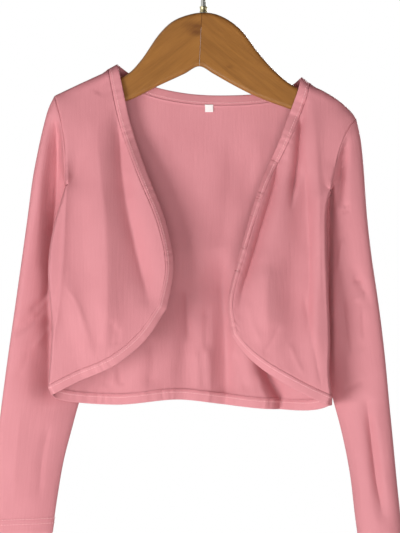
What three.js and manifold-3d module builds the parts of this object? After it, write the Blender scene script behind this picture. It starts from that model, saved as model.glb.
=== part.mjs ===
// A child's open-front cropped jersey jacket with long sleeves, hanging on a wooden hanger.
//
// Millimetres, +Z up. The origin is the inside top of the hanger's hook, where a rail carries it.
// The front faces -Y. "Left" and "right" are as seen from the front, so left is -X.
// Every cloth piece is a thin wall about a middle surface, and pieces stop SEAM_GAP apart at a seam.

import * as THREE from 'three';
import { mergeVertices } from 'three/addons/utils/BufferGeometryUtils.js';
import Module from 'manifold-3d';

const wasm = await Module();
wasm.setup();

// Driving dimensions
const SEAM_GAP = 0.3;
const JERSEY_WALL = 1.3;
const BAND_WALL = 2;
const BAND_WIDTH = 9.5;
const ARMHOLE_DEPTH = 13;
const SHOULDER_ROLL = 9;
const SECTION_ROUNDNESS = 0.7;
const INNER_EDGE_ROUNDNESS = 1.1;

const HANGER_THICKNESS = 11;
const HANGER_EDGE_RADIUS = 3.5;
const HOOK_WIRE = 5;
const HOOK_INNER_RADIUS = 18;
const COLLAR_DIAMETER = 7.6;
const COLLAR_HEIGHT = 5.5;
const COLLAR_CHAMFER = 0.7;
const WOOD_TOP = -58;
const HOOK_HOLE_DEPTH = 14;

// The hook's loop, in degrees from +X, and the straight and eased lengths of wire below it
const HOOK_LOOP = { from: -58, to: 200, straight: 4, ease: 6 };

// How finely the walls are divided
const ARMHOLE_STEPS = 10;
const SIDE_STEPS = 12;
const FRONT_STEPS = 16;
const BACK_STEPS = 24;
const RINGS_PER_SECTION = 2;
const SHOULDER_COLUMNS = 5;
const HANGER_OUTLINE_STEPS = 60;
const HOOK_STEPS = 44;
const ROUND_STEPS = 24;

// A cutting block larger than the hanger
const HALF_SPACE = 600;

// Share of a panel's height that lies beside the armhole, and how a front's columns crowd to it
const ARMHOLE_SHARE = 0.42;
const FRONT_CROWDING = 1.6;

// Outlines seen from the front, from the top down or from the side to the middle
const armholeLine = {
  left: curve([
    { x: -137.5, z: -135.4 },
    { x: -134.2, z: -147 },
    { x: -130.4, z: -163 },
    { x: -128, z: -184 },
    { x: -127.1, z: -217.3 },
  ]),
  right: curve([
    { x: 140.6, z: -156.3 },
    { x: 135, z: -163.5 },
    { x: 129.6, z: -174 },
    { x: 123.5, z: -192 },
    { x: 117.7, z: -221.9 },
  ]),
};

const sideLine = {
  left: curve([
    { x: -127.1, z: -217.3 },
    { x: -131.5, z: -233 },
    { x: -138.5, z: -258 },
    { x: -143, z: -294 },
    { x: -139.5, z: -352 },
    { x: -142.9, z: -402 },
  ]),
  right: curve([
    { x: 117.7, z: -221.9 },
    { x: 114, z: -238 },
    { x: 113.3, z: -278 },
    { x: 116.2, z: -362 },
    { x: 115.6, z: -390 },
    { x: 117.7, z: -411.3 },
  ]),
};

const shoulderLine = {
  left: curve([
    { x: -137.5, z: -135.4 },
    { x: -130.4, z: -131.6 },
    { x: -105.6, z: -119.2 },
    { x: -87.4, z: -110.9 },
  ]),
  right: curve([
    { x: 140.6, z: -156.3 },
    { x: 136, z: -149.6 },
    { x: 125.1, z: -139.2 },
    { x: 109.8, z: -129.4 },
    { x: 97.4, z: -124 },
  ]),
};

// Seam of the front band, down the open edge to where it turns towards the side
const openingSeam = {
  left: curve([
    { x: -87.4, z: -110.9 },
    { x: -84, z: -129 },
    { x: -76.5, z: -162 },
    { x: -62, z: -203 },
    { x: -41, z: -255.5 },
    { x: -34.4, z: -293 },
    { x: -41, z: -328 },
  ]),
  right: curve([
    { x: 97.4, z: -124 },
    { x: 94.2, z: -138 },
    { x: 79.2, z: -174.8 },
    { x: 57.7, z: -219 },
    { x: 38, z: -279 },
    { x: 26.2, z: -326 },
    { x: 30.2, z: -353.6 },
  ]),
};

// Seam of the front band along the curved bottom, from the side seam to that turn
const bottomSeam = {
  left: curve([
    { x: -142.9, z: -402 },
    { x: -118, z: -389.5 },
    { x: -85, z: -375 },
    { x: -60, z: -354.5 },
    { x: -41, z: -328 },
  ]),
  right: curve([
    { x: 117.7, z: -411.3 },
    { x: 91.8, z: -399 },
    { x: 56, z: -378.5 },
    { x: 40, z: -365.4 },
    { x: 30.2, z: -353.6 },
  ]),
};

const neckSeam = curve([
  { x: -87.4, z: -110.9 },
  { x: -78.5, z: -118.4 },
  { x: -56, z: -132.2 },
  { x: -20, z: -141 },
  { x: 22, z: -143.4 },
  { x: 62, z: -140.2 },
  { x: 86.5, z: -132.6 },
  { x: 97.4, z: -124 },
]);

const backHemSeam = curve([
  { x: -142.9, z: -402 },
  { x: -130, z: -407.4 },
  { x: -82, z: -411.8 },
  { x: -24, z: -407.2 },
  { x: 24, z: -412.4 },
  { x: 62, z: -416 },
  { x: 102, z: -416.4 },
  { x: 117.7, z: -411.3 },
]);

// How far the front and back stand from the hanger's middle plane, and where the side seams hang
const bodySections = [
  { z: -106, front: 9, back: 9, sideLeft: 0, sideRight: 0 },
  { z: -135, front: 10, back: 9.5, sideLeft: 0, sideRight: 0 },
  { z: -175, front: 14, back: 11, sideLeft: 0, sideRight: 0 },
  { z: -222, front: 18, back: 13, sideLeft: 0, sideRight: 0 },
  { z: -270, front: 22, back: 14, sideLeft: -6, sideRight: -4 },
  { z: -340, front: 25, back: 16, sideLeft: -10, sideRight: -5 },
  { z: -425, front: 27, back: 18, sideLeft: -11, sideRight: -5 },
];

// Rounding of the body towards its side seams, and of its cloth towards the armholes
const SIDE_ROLL = { front: 30, back: 46 };
const ARMHOLE_BLEND = 45;
const UNDERARM_REACH = 9;

// Heights below the shoulder between which the folds set in, and their strength at both ends
const FOLDS_BEGIN = { from: 6, to: 40 };
const FOLD_END_STRENGTH = 0.45;

// Slope of the sleeve as it leaves the armhole, in degrees, on the shoulder and at the underarm
const SLEEVE_SLOPE = { shoulder: -25, underarm: 45 };

// Sleeve sections over which the armhole's bow fades and the inner edge becomes sharper
const BOW_SECTIONS = 5;
const ROUNDING_SECTIONS = 3;

// Sleeve sections from the armhole to the cuff: the outer and inner edge, their depths,
// and half the section's own depth
const sleeveSections = {
  left: [
    { outerX: -137.5, outerZ: -135.4, outerY: 0, innerX: -127.1, innerZ: -217.3, innerY: 0, half: 13 },
    { outerX: -143, outerZ: -147, outerY: 1, innerX: -128.6, innerZ: -216.2, innerY: 2, half: 13 },
    { outerX: -147.6, outerZ: -163, outerY: 2, innerX: -129.4, innerZ: -219, innerY: 5.5, half: 13 },
    { outerX: -152.4, outerZ: -184, outerY: 3, innerX: -128, innerZ: -226, innerY: 10.3, half: 13 },
    { outerX: -157.8, outerZ: -212, outerY: 5, innerX: -126.5, innerZ: -241, innerY: 16.6, half: 13 },
    { outerX: -163, outerZ: -250, outerY: 8, innerX: -124, innerZ: -266, innerY: 23.5, half: 12.5 },
    { outerX: -169, outerZ: -292, outerY: 11, innerX: -120.5, innerZ: -300, innerY: 28.5, half: 12 },
    { outerX: -174.5, outerZ: -330, outerY: 13, innerX: -117, innerZ: -334, innerY: 28, half: 11.5 },
    { outerX: -180, outerZ: -368, outerY: 14, innerX: -114, innerZ: -368, innerY: 29, half: 11 },
    { outerX: -184.9, outerZ: -404, outerY: 14, innerX: -113, innerZ: -403, innerY: 30.5, half: 10 },
    { outerX: -189.4, outerZ: -439, outerY: 14, innerX: -120.8, innerZ: -436, innerY: 26, half: 9 },
    { outerX: -194, outerZ: -474, outerY: 13, innerX: -130, innerZ: -472, innerY: 22, half: 8.5 },
    { outerX: -198.3, outerZ: -508.5, outerY: 12, innerX: -136, innerZ: -507, innerY: 18, half: 8 },
    { outerX: -202.5, outerZ: -542, outerY: 12, innerX: -140.5, innerZ: -540, innerY: 16, half: 7.5 },
  ],
  right: [
    { outerX: 140.6, outerZ: -156.3, outerY: 0, innerX: 117.7, innerZ: -221.9, innerY: 0, half: 13 },
    { outerX: 143.4, outerZ: -168, outerY: 1, innerX: 119, innerZ: -221, innerY: 2, half: 13 },
    { outerX: 145.8, outerZ: -183, outerY: 2, innerX: 119.4, innerZ: -224, innerY: 5.5, half: 13 },
    { outerX: 148, outerZ: -208, outerY: 2, innerX: 117.5, innerZ: -231, innerY: 9.5, half: 13.5 },
    { outerX: 150.6, outerZ: -245, outerY: 2, innerX: 113, innerZ: -248, innerY: 15, half: 14 },
    { outerX: 154.6, outerZ: -281, outerY: 3, innerX: 109.5, innerZ: -275, innerY: 20, half: 14.5 },
    { outerX: 159.4, outerZ: -313, outerY: 5, innerX: 107.5, innerZ: -308, innerY: 23, half: 14.5 },
    { outerX: 164, outerZ: -346, outerY: 6, innerX: 107.5, innerZ: -342, innerY: 24, half: 14 },
    { outerX: 168, outerZ: -381, outerY: 7, innerX: 110, innerZ: -378, innerY: 24, half: 14 },
    { outerX: 171.4, outerZ: -417, outerY: 8, innerX: 119.5, innerZ: -412, innerY: 22, half: 14 },
    { outerX: 175, outerZ: -454, outerY: 8, innerX: 129, innerZ: -448, innerY: 18, half: 14.5 },
    { outerX: 178.4, outerZ: -490, outerY: 8, innerX: 136.2, innerZ: -485, innerY: 15, half: 15.5 },
    { outerX: 182, outerZ: -525, outerY: 8, innerX: 140.6, innerZ: -522, innerY: 13, half: 16.5 },
    { outerX: 185, outerZ: -557, outerY: 8, innerX: 145, innerZ: -555, innerY: 12, half: 17 },
  ],
};

// Largest folds of each piece: a line seen from the front, its half width, and its push outwards
const folds = {
  front_left: [
    { fromX: -98, fromZ: -150, toX: -91, toZ: -250, width: 16, push: 3 },
    { fromX: -91, fromZ: -250, toX: -86, toZ: -375, width: 14, push: 3.5 },
    { fromX: -79, fromZ: -150, toX: -72, toZ: -220, width: 8, push: -3.5 },
    { fromX: -72, fromZ: -220, toX: -50, toZ: -320, width: 9, push: -4 },
    { fromX: -126, fromZ: -300, toX: -104, toZ: -380, width: 8, push: 2 },
    { fromX: -118, fromZ: -180, toX: -124, toZ: -300, width: 12, push: -2 },
  ],
  front_right: [
    { fromX: 92, fromZ: -143, toX: 85, toZ: -212, width: 6, push: -4 },
    { fromX: 90, fromZ: -215, toX: 88, toZ: -290, width: 13, push: -5 },
    { fromX: 104, fromZ: -145, toX: 104, toZ: -277, width: 8, push: 2.5 },
    { fromX: 72, fromZ: -196, toX: 33, toZ: -335, width: 7, push: -3 },
    { fromX: 55, fromZ: -290, toX: 60, toZ: -365, width: 14, push: 4.5 },
    { fromX: 82, fromZ: -290, toX: 84, toZ: -375, width: 11, push: -4 },
    { fromX: 103, fromZ: -290, toX: 104, toZ: -395, width: 8, push: 3 },
  ],
  back: [
    { fromX: -110, fromZ: -200, toX: -95, toZ: -410, width: 18, push: 5 },
    { fromX: -55, fromZ: -330, toX: -58, toZ: -412, width: 16, push: -4 },
    { fromX: -14, fromZ: -320, toX: -20, toZ: -412, width: 9, push: 4 },
    { fromX: 4, fromZ: -345, toX: 6, toZ: -412, width: 8, push: -3 },
    { fromX: 50, fromZ: -375, toX: 66, toZ: -420, width: 9, push: 4 },
    { fromX: 30, fromZ: -180, toX: 78, toZ: -330, width: 16, push: 3 },
    { fromX: 90, fromZ: -330, toX: 92, toZ: -420, width: 12, push: -3 },
  ],
  sleeve_left: [
    { fromX: -138.6, fromZ: -163, toX: -147, toZ: -288, width: 6, push: -5 },
    { fromX: -143, fromZ: -318, toX: -158, toZ: -338, width: 5, push: -2.5 },
    { fromX: -178, fromZ: -352, toX: -152, toZ: -337, width: 5, push: -2 },
    { fromX: -154, fromZ: -365, toX: -150, toZ: -415, width: 9, push: -3 },
  ],
  sleeve_left_behind: [
    { fromX: -150, fromZ: -190, toX: -140, toZ: -330, width: 8, push: -4 },
    { fromX: -140, fromZ: -360, toX: -170, toZ: -400, width: 7, push: -3 },
    { fromX: -160, fromZ: -430, toX: -168, toZ: -520, width: 7, push: -2.5 },
  ],
  sleeve_right: [
    { fromX: 130.7, fromZ: -176, toX: 124, toZ: -232, width: 5, push: -4 },
    { fromX: 140, fromZ: -296, toX: 152, toZ: -325, width: 5, push: -2.5 },
    { fromX: 145, fromZ: -330, toX: 147, toZ: -365, width: 5, push: -2 },
    { fromX: 152, fromZ: -420, toX: 165, toZ: -521, width: 6, push: -4 },
  ],
  sleeve_right_behind: [
    { fromX: 142, fromZ: -200, toX: 130, toZ: -330, width: 8, push: -4 },
    { fromX: 128, fromZ: -360, toX: 158, toZ: -395, width: 7, push: -3 },
    { fromX: 150, fromZ: -420, toX: 160, toZ: -520, width: 7, push: -3 },
  ],
};

// Width of each band seen from the front, by the share of its length; the rest turns backwards
const bandSections = {
  left: [
    { along: 0, seen: 9.4 },
    { along: 0.1, seen: 9.4 },
    { along: 0.3, seen: 7.8 },
    { along: 0.5, seen: 6.4 },
    { along: 0.7, seen: 8.6 },
    { along: 1, seen: 9.4 },
  ],
  right: [
    { along: 0, seen: 9.4 },
    { along: 0.11, seen: 9.4 },
    { along: 0.18, seen: 7.6 },
    { along: 0.3, seen: 5.4 },
    { along: 0.45, seen: 4.6 },
    { along: 0.58, seen: 5 },
    { along: 0.7, seen: 9 },
    { along: 1, seen: 9.4 },
  ],
  neck: [
    { along: 0, seen: 9.4 },
    { along: 1, seen: 9.4 },
  ],
  hem: [
    { along: 0, seen: 9.4 },
    { along: 1, seen: 9.4 },
  ],
};

// Directions in which the bands end, seen from the front: on the shoulder and at the side seams
const bandEnds = {
  shoulderLeft: { x: 0.88, z: 0.47 },
  shoulderRight: { x: -0.78, z: 0.62 },
  sideLeft: { x: 0.37, z: -0.93 },
  sideRight: { x: 0, z: -1 },
};
const BAND_END_BLEND = 0.1;
const BAND_END_GAP = 0.5;

const LABEL = { x: 5, width: 7.4, height: 5.4, thickness: 0.8, below: 0.9 };

// Upper and lower edges of the hanger, from the middle to each end
const hangerTop = {
  left: [
    { x: -7, z: -58.6 },
    { x: -27.2, z: -65.4 },
    { x: -40, z: -76.8 },
    { x: -58.3, z: -102.7 },
    { x: -69.9, z: -114.5 },
    { x: -88, z: -121.2 },
    { x: -106, z: -122.7 },
    { x: -118, z: -127.7 },
    { x: -127, z: -134.5 },
  ],
  right: [
    { x: 7, z: -58.6 },
    { x: 19.5, z: -63 },
    { x: 34, z: -73.6 },
    { x: 51, z: -95.6 },
    { x: 63.6, z: -109.9 },
    { x: 80.4, z: -124.2 },
    { x: 98, z: -131.4 },
    { x: 114, z: -134.7 },
    { x: 123, z: -140.4 },
    { x: 128.5, z: -147 },
  ],
};
const hangerBottom = {
  left: [
    { x: -122, z: -140.8 },
    { x: -104, z: -144 },
    { x: -71.2, z: -139.7 },
    { x: -40.1, z: -124.8 },
    { x: -18, z: -114.6 },
    { x: -4, z: -107.6 },
  ],
  right: [
    { x: 122, z: -153 },
    { x: 104, z: -154.4 },
    { x: 80.4, z: -147.4 },
    { x: 48, z: -135.2 },
    { x: 24, z: -123 },
    { x: 9, z: -114.4 },
  ],
};
const GLUE_LINE = { topX: -1.6, bottomX: -4, bottomZ: -107.6 };

const colours = {
  jersey: 0xc98288,
  wood: 0x99632f,
  steel: 0xb9bbbd,
  brass: 0xa98d5c,
  label: 0xf2efea,
};

// A smooth line through the rows of an outline, in the plane of the hanger
function curve(rows) {
  const points = rows.map(({ x, z }) => new THREE.Vector3(x, 0, z));
  return new THREE.CatmullRomCurve3(points, false, 'centripetal');
}

// The value of one column of a table at a place between its rows, joined smoothly
function column(rows, key, at, name) {
  const rising = rows[rows.length - 1][key] > rows[0][key];
  let next = rows.findIndex((row) => (rising ? row[key] >= at : row[key] <= at));
  if (next === -1) next = rows.length - 1;
  next = Math.max(next, 1);
  const slope = (low, high) => (rows[high][name] - rows[low][name]) / (rows[high][key] - rows[low][key]);
  const span = rows[next][key] - rows[next - 1][key];
  const share = THREE.MathUtils.clamp((at - rows[next - 1][key]) / span, 0, 1);
  const slopeIn = slope(Math.max(next - 2, 0), next) * span;
  const slopeOut = slope(next - 1, Math.min(next + 1, rows.length - 1)) * span;
  const square = share * share;
  const cube = square * share;
  return (2 * cube - 3 * square + 1) * rows[next - 1][name]
    + (cube - 2 * square + share) * slopeIn
    + (3 * square - 2 * cube) * rows[next][name]
    + (cube - square) * slopeOut;
}

// Rises from 0 to 1 as a quarter of a circle does
function rolled(distance, radius) {
  const share = THREE.MathUtils.clamp(distance / radius, 0, 1);
  return Math.sqrt(1 - (1 - share) ** 2);
}

// Sum of the folds at a place seen from the front
function foldPush(rows, x, z) {
  let push = 0;
  for (const fold of rows) {
    const line = new THREE.Vector2(fold.toX - fold.fromX, fold.toZ - fold.fromZ);
    const place = new THREE.Vector2(x - fold.fromX, z - fold.fromZ);
    const share = THREE.MathUtils.clamp(place.dot(line) / line.lengthSq(), 0, 1);
    const distance = place.sub(line.multiplyScalar(share)).length();
    const strength = THREE.MathUtils.lerp(FOLD_END_STRENGTH, 1, Math.sin(Math.PI * share));
    push += fold.push * strength * Math.exp(-((distance / fold.width) ** 2));
  }
  return push;
}

// The armhole's seam as a closed loop: down its front, round the underarm and up its back
function armholeLoop(side) {
  const sign = side === 'left' ? -1 : 1;
  const count = 2 * ARMHOLE_STEPS;
  const points = [];
  const towardsSleeve = [];
  for (let step = 0; step < count; step += 1) {
    const angle = (step / ARMHOLE_STEPS) * Math.PI;
    const share = (1 - Math.cos(angle)) / 2;
    const point = armholeLine[side].getPointAt(share);
    const depth = ARMHOLE_DEPTH * Math.abs(Math.sin(angle)) ** SECTION_ROUNDNESS;
    point.y = step < ARMHOLE_STEPS ? -depth : depth;
    points.push(point);
    const slope = THREE.MathUtils.lerp(SLEEVE_SLOPE.shoulder, SLEEVE_SLOPE.underarm, share * share);
    const tilt = THREE.MathUtils.degToRad(slope);
    towardsSleeve.push(new THREE.Vector3(sign * Math.cos(tilt), 0, Math.sin(tilt)));
  }
  const middle = points.reduce((sum, point) => sum.add(point), new THREE.Vector3()).divideScalar(count);
  const normals = points.map((point, step) => {
    const along = points[(step + 1) % count].clone().sub(points[(step + count - 1) % count]).normalize();
    towardsSleeve[step].addScaledVector(along, -along.dot(towardsSleeve[step])).normalize();
    const normal = along.cross(towardsSleeve[step]).normalize();
    return normal.dot(point.clone().sub(middle)) < 0 ? normal.negate() : normal;
  });
  return { points, normals, towardsSleeve };
}

const armholes = { left: armholeLoop('left'), right: armholeLoop('right') };

// Height of the shoulder line, carried level across the neck
function shoulderHeight(x) {
  const left = shoulderLine.left.points;
  const right = [...shoulderLine.right.points].reverse();
  const line = [...left, ...right];
  const next = THREE.MathUtils.clamp(line.findIndex((point) => point.x > x), 1, line.length - 1);
  const share = THREE.MathUtils.clamp((x - line[next - 1].x) / (line[next].x - line[next - 1].x), 0, 1);
  return THREE.MathUtils.lerp(line[next - 1].z, line[next].z, share);
}

// Outer edge of a panel: down the armhole's seam, then down the side seam
function outerEdge(side, facing) {
  const loop = armholes[side];
  const key = side === 'left' ? 'sideLeft' : 'sideRight';
  const edge = [];
  for (let row = 0; row <= ARMHOLE_STEPS + SIDE_STEPS; row += 1) {
    let point;
    let normal;
    let height;
    if (row <= ARMHOLE_STEPS) {
      const step = facing === 'front' ? row : (2 * ARMHOLE_STEPS - row) % (2 * ARMHOLE_STEPS);
      point = loop.points[step].clone().addScaledVector(loop.towardsSleeve[step], -SEAM_GAP / 2);
      normal = loop.normals[step];
      height = ARMHOLE_SHARE * (1 - Math.cos((row / ARMHOLE_STEPS) * Math.PI)) / 2;
    } else {
      const share = (row - ARMHOLE_STEPS) / SIDE_STEPS;
      point = sideLine[side].getPointAt(share);
      point.y = column(bodySections, 'z', point.z, key);
      height = ARMHOLE_SHARE + (1 - ARMHOLE_SHARE) * share;
    }
    if (row === 0 || row >= ARMHOLE_STEPS) point.y += (facing === 'front' ? -1 : 1) * SEAM_GAP / 2;
    const beside = Math.min(height / ARMHOLE_SHARE, 1);
    let easy = point.y;
    if (beside > 0.5 && beside < 1) {
      easy = Math.sign(point.y) * ARMHOLE_DEPTH * 4 * beside * (1 - beside);
    }
    edge.push({ point, normal, height, beside, easy });
  }
  return edge;
}

// A place inside four edges, seen from the front
function betweenEdges(across, down, left, right, top, bottom) {
  const mix = (a, b, share) => a * (1 - share) + b * share;
  const inside = (axis) => mix(left[axis], right[axis], across)
    + mix(top(across)[axis], bottom(across)[axis], down)
    - mix(mix(top(0)[axis], top(1)[axis], across), mix(bottom(0)[axis], bottom(1)[axis], across), down);
  return new THREE.Vector3(inside('x'), 0, inside('z'));
}

// What an outer edge takes off the body's full depth at a distance from that edge
function edgePull(facing, distance, edge, full) {
  const soft = THREE.MathUtils.smoothstep(distance, 0, ARMHOLE_BLEND);
  const reach = THREE.MathUtils.lerp(soft, rolled(distance, SIDE_ROLL[facing]), edge.beside ** 4);
  const close = Math.exp(-((distance / UNDERARM_REACH) ** 2));
  return (edge.easy - full) * (1 - reach) + (edge.point.y - edge.easy) * close;
}

// Depth of the cloth over the hanger, before its sides are rounded
function fullDepth(facing, x, z, foldRows) {
  const below = shoulderHeight(x) - z;
  const strength = THREE.MathUtils.smoothstep(below, FOLDS_BEGIN.from, FOLDS_BEGIN.to);
  const plain = column(bodySections, 'z', z, facing) * rolled(below, SHOULDER_ROLL);
  const depth = plain + foldPush(foldRows, x, z) * strength;
  return facing === 'front' ? -depth : depth;
}

// Middle surface of one front: from the outer edge to the opening, and from the shoulder down
function frontGrid(side) {
  const top = (across) => shoulderLine[side].getPointAt(across);
  const bottom = (across) => bottomSeam[side].getPointAt(across);
  return outerEdge(side, 'front').map((start) => {
    const row = [];
    for (let step = 0; step <= FRONT_STEPS; step += 1) {
      const across = (step / FRONT_STEPS) ** FRONT_CROWDING;
      const atOpening = openingSeam[side].getPointAt(start.height);
      const point = betweenEdges(across, start.height, start.point, atOpening, top, bottom);
      const full = fullDepth('front', point.x, point.z, folds[`front_${side}`]);
      point.y = full + edgePull('front', Math.abs(point.x - start.point.x), start, full);
      if (start.height === 0) point.y = -SEAM_GAP / 2;
      row.push(point);
    }
    return row;
  });
}

// Middle surface of the back: from the left side to the right, and from the shoulders and neck down
function backGrid() {
  const left = outerEdge('left', 'back');
  const right = outerEdge('right', 'back');
  const spread = (step) => (1 - Math.cos((step / BACK_STEPS) * Math.PI)) / 2;
  const neckStart = spread(SHOULDER_COLUMNS);
  const top = (across) => {
    if (across <= neckStart) return shoulderLine.left.getPointAt(across / neckStart);
    if (across >= 1 - neckStart) return shoulderLine.right.getPointAt((1 - across) / neckStart);
    const share = (across - neckStart) / (1 - 2 * neckStart);
    return neckSeam.getPointAt((share + (1 - Math.cos(share * Math.PI)) / 2) / 2);
  };
  const bottom = (across) => backHemSeam.getPointAt(across);
  return left.map((start, index) => {
    const end = right[index];
    const row = [];
    for (let step = 0; step <= BACK_STEPS; step += 1) {
      const across = spread(step);
      const point = betweenEdges(across, start.height, start.point, end.point, top, bottom);
      const full = fullDepth('back', point.x, point.z, folds.back);
      point.y = full + edgePull('back', Math.abs(point.x - start.point.x), start, full)
        + edgePull('back', Math.abs(end.point.x - point.x), end, full);
      const onShoulder = step <= SHOULDER_COLUMNS || step >= BACK_STEPS - SHOULDER_COLUMNS;
      if (start.height === 0 && onShoulder) point.y = SEAM_GAP / 2;
      row.push(point);
    }
    return row;
  });
}

// Middle surface of a sleeve: closed rings from the armhole to the cuff
function sleeveGrid(side) {
  const loop = armholes[side];
  const rows = sleeveSections[side].map((row, index) => ({ ...row, index }));
  const count = 2 * ARMHOLE_STEPS;
  const rings = (rows.length - 1) * RINGS_PER_SECTION;
  const grid = [];
  for (let ring = 0; ring <= rings; ring += 1) {
    const at = ring / RINGS_PER_SECTION;
    const value = (name) => column(rows, 'index', at, name);
    const bow = 1 - THREE.MathUtils.smoothstep(at, 0, BOW_SECTIONS);
    const along = Math.min(at / ROUNDING_SECTIONS, 1);
    const innerRoundness = THREE.MathUtils.lerp(SECTION_ROUNDNESS, INNER_EDGE_ROUNDNESS, along);
    const row = [];
    for (let step = 0; step < count; step += 1) {
      const angle = (step / ARMHOLE_STEPS) * Math.PI;
      const share = (1 - Math.cos(angle)) / 2;
      const seam = loop.points[step];
      if (ring === 0) {
        row.push(seam.clone().addScaledVector(loop.towardsSleeve[step], SEAM_GAP / 2));
        continue;
      }
      const first = rows[0];
      const bowX = seam.x - THREE.MathUtils.lerp(first.outerX, first.innerX, share);
      const bowZ = seam.z - THREE.MathUtils.lerp(first.outerZ, first.innerZ, share);
      const x = THREE.MathUtils.lerp(value('outerX'), value('innerX'), share) + bowX * bow;
      const z = THREE.MathUtils.lerp(value('outerZ'), value('innerZ'), share) + bowZ * bow;
      const middle = THREE.MathUtils.lerp(value('outerY'), value('innerY'), share);
      const swell = Math.abs(Math.sin(angle)) ** (share > 0.5 ? innerRoundness : SECTION_ROUNDNESS);
      const inFront = step < ARMHOLE_STEPS;
      const foldRows = folds[inFront ? `sleeve_${side}` : `sleeve_${side}_behind`];
      const depth = (value('half') + foldPush(foldRows, x, z)) * swell;
      row.push(new THREE.Vector3(x, middle + (inFront ? -depth : depth), z));
    }
    grid.push(row);
  }
  return grid;
}

// Directions across a grid's surface; rows run down and columns run to the right
function gridNormals(grid, { closed = false, flip = false } = {}) {
  const lastRow = grid.length - 1;
  return grid.map((row, i) => row.map((point, j) => {
    const count = row.length;
    const before = closed ? row[(j + count - 1) % count] : row[Math.max(j - 1, 0)];
    const after = closed ? row[(j + 1) % count] : row[Math.min(j + 1, count - 1)];
    const down = grid[Math.min(i + 1, lastRow)][j].clone().sub(grid[Math.max(i - 1, 0)][j]);
    const normal = down.cross(after.clone().sub(before)).normalize();
    return flip ? normal.negate() : normal;
  }));
}

// A closed wall about a grid: both faces, and rims where the grid is open
function wall(grid, normals, thickness, { closed = false, flip = false } = {}) {
  const rows = grid.length;
  const columns = grid[0].length;
  const positions = [];
  for (const half of [thickness / 2, -thickness / 2]) {
    grid.forEach((row, i) => row.forEach((point, j) => {
      positions.push(...point.clone().addScaledVector(normals[i][j], half).toArray());
    }));
  }
  const outer = (i, j) => i * columns + (j % columns);
  const inner = (i, j) => rows * columns + outer(i, j);
  const indices = [];
  const quad = (a, b, c, d) => indices.push(...(flip ? [a, c, b, a, d, c] : [a, b, c, a, c, d]));
  const cells = closed ? columns : columns - 1;
  for (let i = 0; i < rows - 1; i += 1) {
    for (let j = 0; j < cells; j += 1) {
      quad(outer(i, j), outer(i + 1, j), outer(i + 1, j + 1), outer(i, j + 1));
      quad(inner(i, j), inner(i, j + 1), inner(i + 1, j + 1), inner(i + 1, j));
    }
  }
  for (let j = 0; j < cells; j += 1) {
    quad(outer(0, j), outer(0, j + 1), inner(0, j + 1), inner(0, j));
    quad(outer(rows - 1, j), inner(rows - 1, j), inner(rows - 1, j + 1), outer(rows - 1, j + 1));
  }
  if (!closed) {
    for (let i = 0; i < rows - 1; i += 1) {
      quad(outer(i, 0), inner(i, 0), inner(i + 1, 0), outer(i + 1, 0));
      quad(outer(i, cells), outer(i + 1, cells), inner(i + 1, cells), inner(i, cells));
    }
  }
  const geometry = new THREE.BufferGeometry();
  geometry.setAttribute('position', new THREE.Float32BufferAttribute(positions, 3));
  geometry.setIndex(indices);
  geometry.computeVertexNormals();
  return geometry;
}

// Turns a direction square to the seam plane that runs front to back
function level(normal) {
  normal.y = 0;
  return normal.normalize();
}

// One front, with its edge towards the opening for the band that follows it
function front(side) {
  const flip = side === 'right';
  const grid = frontGrid(side);
  const normals = gridNormals(grid, { flip });
  const edge = outerEdge(side, 'front');
  normals.forEach((row, i) => {
    if (edge[i].normal) row[0].copy(edge[i].normal);
    else level(row[0]);
  });
  normals[0].slice(1).forEach((normal) => level(normal));
  const last = grid.length - 1;
  const opening = grid.map((row, i) => ({ point: row[FRONT_STEPS], normal: normals[i][FRONT_STEPS] }));
  const bottom = grid[last].map((point, j) => ({ point, normal: normals[last][j] })).reverse();
  return { geometry: wall(grid, normals, JERSEY_WALL, { flip }), edge: [...opening, ...bottom.slice(1)] };
}

// The back, with its neck and hem edges for the bands that follow them
function back() {
  const grid = backGrid();
  const normals = gridNormals(grid, { flip: true });
  const left = outerEdge('left', 'back');
  const right = outerEdge('right', 'back');
  normals.forEach((row, i) => {
    if (left[i].normal) row[0].copy(left[i].normal);
    else level(row[0]);
    if (right[i].normal) row[BACK_STEPS].copy(right[i].normal);
    else level(row[BACK_STEPS]);
  });
  for (let j = 1; j <= SHOULDER_COLUMNS; j += 1) {
    level(normals[0][j]);
    level(normals[0][BACK_STEPS - j]);
  }
  const last = grid.length - 1;
  const along = (i, from, to) => grid[i].slice(from, to + 1)
    .map((point, j) => ({ point, normal: normals[i][from + j] }));
  return {
    grid,
    geometry: wall(grid, normals, JERSEY_WALL, { flip: true }),
    neck: along(0, SHOULDER_COLUMNS, BACK_STEPS - SHOULDER_COLUMNS),
    hem: along(last, 0, BACK_STEPS),
  };
}

function sleeve(side) {
  const flip = side === 'right';
  const grid = sleeveGrid(side);
  const normals = gridNormals(grid, { closed: true, flip });
  normals[0] = armholes[side].normals;
  return wall(grid, normals, JERSEY_WALL, { closed: true, flip });
}

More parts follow.
